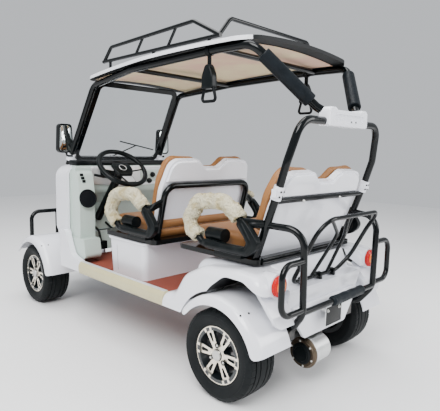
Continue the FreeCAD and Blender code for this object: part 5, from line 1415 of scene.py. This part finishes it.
for word, side in SIDES:
    clamp_spots = [seated("pillar_clamps", from_axle(-400, side * (406 + step), z), (1, 0, 0))
                   for z in (1016, 1040) for step in (-10, 10)]
    bolts("clamp_bolts_" + word, clamp_spots, (-0.94, 0, -0.34), SMALL_BOLT, frame_steel)
    rear_spots = on_fender("rear_fenders", side, 0)
    bolts("fender_bolts_" + word, rear_spots, FENDER_FACING, SMALL_BOLT, black_plastic)
    front_spots = on_fender("front_fender_" + word, side, WHEELBASE)
    bolts("front_fender_bolts_" + word, front_spots, FENDER_FACING, SMALL_BOLT, black_plastic,
          "knuckle_" + word)
bolts("crossbar_bolts", [from_axle(-215, y, 984) for y in (193, -150)], (-0.9, 0, 0.4), 0.0075, cast_alloy)
bolts("lamp_box_screws", [from_axle(-334, y, 1375) for y in (-18, -62)], (-1, 0, 0), 0.0045, black_plastic)
print("fender bolts", round(WHEELBASE, 3), "m apart along the cart")

# %% [markdown]
# ## Motor end
# The open end of the motor is closed by a stepped black cap, with a ring of bolts in the flange around it.

# %% Motor end
MOTOR_BOLTS, MOTOR_BOLT_CIRCLE = 6, 0.065
MOTOR_CAP = [(-0.002, 0.056), (0.003, 0.056), (0.006, 0.052), (0.006, 0.040), (0.009, 0.038), (0.0095, 0)]
motor_low, motor_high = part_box("drive_motor")
motor_middle = Vector(((motor_low[0] + motor_high[0]) / 2, motor_high[1], (motor_low[2] + motor_high[2]) / 2))
piece("motor_end", lathe("motor_end", motor_middle, (0, 1, 0), MOTOR_CAP, 40), black_plastic)
motor_spots = []
for number in range(MOTOR_BOLTS):
    angle = math.radians(360 * number / MOTOR_BOLTS + 20)
    motor_spots.append(motor_middle + Vector((math.cos(angle), 0, math.sin(angle))) * MOTOR_BOLT_CIRCLE)
bolts("motor_bolts", motor_spots, (0, 1, 0), 0.006, cast_alloy)
print("motor end at y", round(motor_middle.y, 3))

# %% [markdown]
# ## Sill strip
# A ribbed aluminium strip lies on each sill, where feet go. It is a plate with three low ribs, as long as the
# open doorway.

# %% Sill strips
STRIP_REAR, STRIP_FRONT = 437, 1326
STRIP_RIBS = ((516, 543, 1.6), (519, 522, 2.8), (528, 531, 2.8), (537, 540, 2.8))
sill_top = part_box("side_sills")[1][2]
for word, side in SIDES:
    strips = []
    for inner, outer, rise in STRIP_RIBS:
        corners = ((STRIP_REAR, inner), (STRIP_FRONT, inner), (STRIP_FRONT, outer), (STRIP_REAR, outer))
        points = [from_axle(x, side * y, sill_top * 1000) for x, y in corners]
        strips.append(plate("strip", points, Vector((0, 0, rise / 1000)), 0.0004))
    piece("sill_strip_" + word, joined("strips", strips), satin_silver)
print("sill strips at", round(sill_top, 3))

# %% [markdown]
# ## Panel lines
# The seat base is two mouldings, and the joint between them shows as a fine dark line down its left and right
# faces. A thin dark strip that stands a hair out of the wall draws it.

# %% Panel lines
base_low, base_high = [Vector(corner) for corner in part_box("front_seat_base")]
LINE_X, LINE_HALF, LINE_RISE, LINE_DEPTH = base_high.x - 0.105, 0.0011, 0.0004, 0.0012
for word, side in SIDES:
    edge = []
    for z in (base_low.z + 0.02, base_high.z - 0.05):
        wall = seated("front_seat_base", Vector((LINE_X, side * 0.62, z)), (0, -side, 0))
        edge.append(wall + Vector((0, side * LINE_RISE, 0)))
    corners = [edge[0] - Vector((LINE_HALF, 0, 0)), edge[0] + Vector((LINE_HALF, 0, 0)),
               edge[1] + Vector((LINE_HALF, 0, 0)), edge[1] - Vector((LINE_HALF, 0, 0))]
    piece("panel_line_" + word, plate("line", corners, Vector((0, -side * LINE_DEPTH, 0)), 0), frame_steel)
print("panel line at x", round(LINE_X, 3))

# %% [markdown]
# ## Rear edge of the front cushion
# Below the front seat's shell a strip of the tan cushion shows from behind, as two soft rolls with a seam
# between them. They follow the shell: their line is found by rays from behind, and each roll's section is
# close to half an ellipse.

# %% Cushion edge below the shell
ROLL_LOW, ROLL_HIGH, ROLL_HALF, ROLL_OUT = 0.675, 0.790, 0.345, 0.018


def shell_back(y, z):
    """Rear surface of the front shell at a height, or at the next height above it where there is shell."""
    hit = False
    while not hit:
        origin = Vector((REAR_AXLE_X + 0.5, y, z))
        hit, place, _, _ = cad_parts["seat_shells"].ray_cast(origin, Vector((1, 0, 0)))
        z += 0.004
    return place.x


def cushion_roll():
    """Two puckered lobes, one above the other, that swell out of the shell's rear surface."""
    rows, columns = 24, 60
    points = []
    for column in range(columns + 1):
        y = -ROLL_HALF + 2 * ROLL_HALF * column / columns
        ends = min(1, min(column, columns - column) / 3) ** 0.5
        for row in range(rows + 1):
            z = ROLL_LOW + (ROLL_HIGH - ROLL_LOW) * row / rows
            bulge = abs(math.sin(2 * math.pi * row / rows)) ** 0.5
            pucker = 1 + 0.12 * noise.noise(Vector((y * 30, z * 18, 0)))
            points.append(Vector((shell_back(y, z) + 0.001 - ROLL_OUT * bulge * ends * pucker, y, z)))
    return mesh_of("cushion_roll", points, grid_faces(columns, rows))


cushion_edge = piece("front_cushion_edge", cushion_roll(), tan_vinyl)
print("cushion edge", round(cushion_edge.dimensions.y, 3), "m long")

# %% [markdown]
# ## Handles above the grip rings
# A moulded handle hangs on each strap above its ring. From the front it is a narrow shoulder that widens to
# a round foot. A plate with round corners and a bevel has that form, and the mesh of the ring says where it
# goes.

# %% Grip handles
HANDLE_OUTLINE = [(-14, 62), (14, 62), (38, 8), (40, -58), (-40, -58), (-38, 8)]
HANDLE_MIDDLE_Z = 1.590
HANDLE_THICKNESS = 0.040
for name, side in SIDES:
    ring = [vertex.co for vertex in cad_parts["hand_grips"].data.vertices
            if vertex.co.z < HANDLE_MIDDLE_Z and vertex.co.y * side > 0.38]
    ring_x = (min(point.x for point in ring) + max(point.x for point in ring)) / 2
    ring_y = (min(point.y for point in ring) + max(point.y for point in ring)) / 2
    outline = [Vector((ring_x + across / 1000, ring_y - HANDLE_THICKNESS / 2, HANDLE_MIDDLE_Z + up / 1000))
               for across, up in HANDLE_OUTLINE]
    handle = plate("handle", rounded_outline(outline, 0.014), (0, HANDLE_THICKNESS, 0), 0.005)
    piece("grip_handle_" + name, handle, black_plastic)
print("grip handles at", round(ring_x, 3), round(abs(ring_y), 3))

# %% [markdown]
# ## Studio
# The cart stands on a plain pale floor, in soft light from above and from the camera's side, with a weaker
# one from behind to draw the rims of the black tubes. The sky gives the even light of a cloudy day.

# %% Floor and lights
FLOOR_HALF = 9


def studio_floor():
    """Square floor that catches the shadows and belongs to no part."""
    corners = [(x * FLOOR_HALF, y * FLOOR_HALF, 0) for x, y in ((-1, -1), (1, -1), (1, 1), (-1, 1))]
    mesh = bpy.data.meshes.new("studio_floor")
    mesh.from_pydata(corners, [], [(0, 1, 2, 3)])
    floor = bpy.data.objects.new("studio_floor", mesh)
    bpy.context.scene.collection.objects.link(floor)
    pale = Finish("studio_pale", Specular_IOR_Level=0.1)
    pale.feed("Base Color", pale.blend(pale.cloud(0.8), (0.86, 0.86, 0.86, 1), (0.89, 0.89, 0.89, 1)))
    pale.feed("Roughness", 0.85 + pale.cloud(3) * 0.1)
    mesh.materials.append(pale.material)


def soft_light(name, place, target, width, power):
    """Square panel of light aimed at a point."""
    data = bpy.data.lights.new(name, "AREA")
    data.size = width
    data.energy = power
    lamp = bpy.data.objects.new(name, data)
    lamp.location = place
    lamp.rotation_euler = (Vector(target) - Vector(place)).to_track_quat("-Z", "Y").to_euler()
    bpy.context.scene.collection.objects.link(lamp)


def studio_sky(strength):
    """Even pale light from all around."""
    world = bpy.data.worlds.new("studio_sky")
    world.use_nodes = True
    background = world.node_tree.nodes["Background"]
    background.inputs["Color"].default_value = (0.93, 0.96, 1.0, 1)
    background.inputs["Strength"].default_value = strength
    bpy.context.scene.world = world


studio_floor()
studio_sky(0.7)
soft_light("key_light", (-2.5, 3.5, 4.5), (0, 0, 0.8), width=3.0, power=420)
soft_light("fill_light", (-4.5, -2.5, 2.5), (-0.6, 0, 0.8), width=2.5, power=150)
soft_light("top_light", (0.5, 0.5, 5.5), (0, 0, 0.8), width=4.0, power=300)
print("floor, sky and lights:", len(bpy.data.lights))
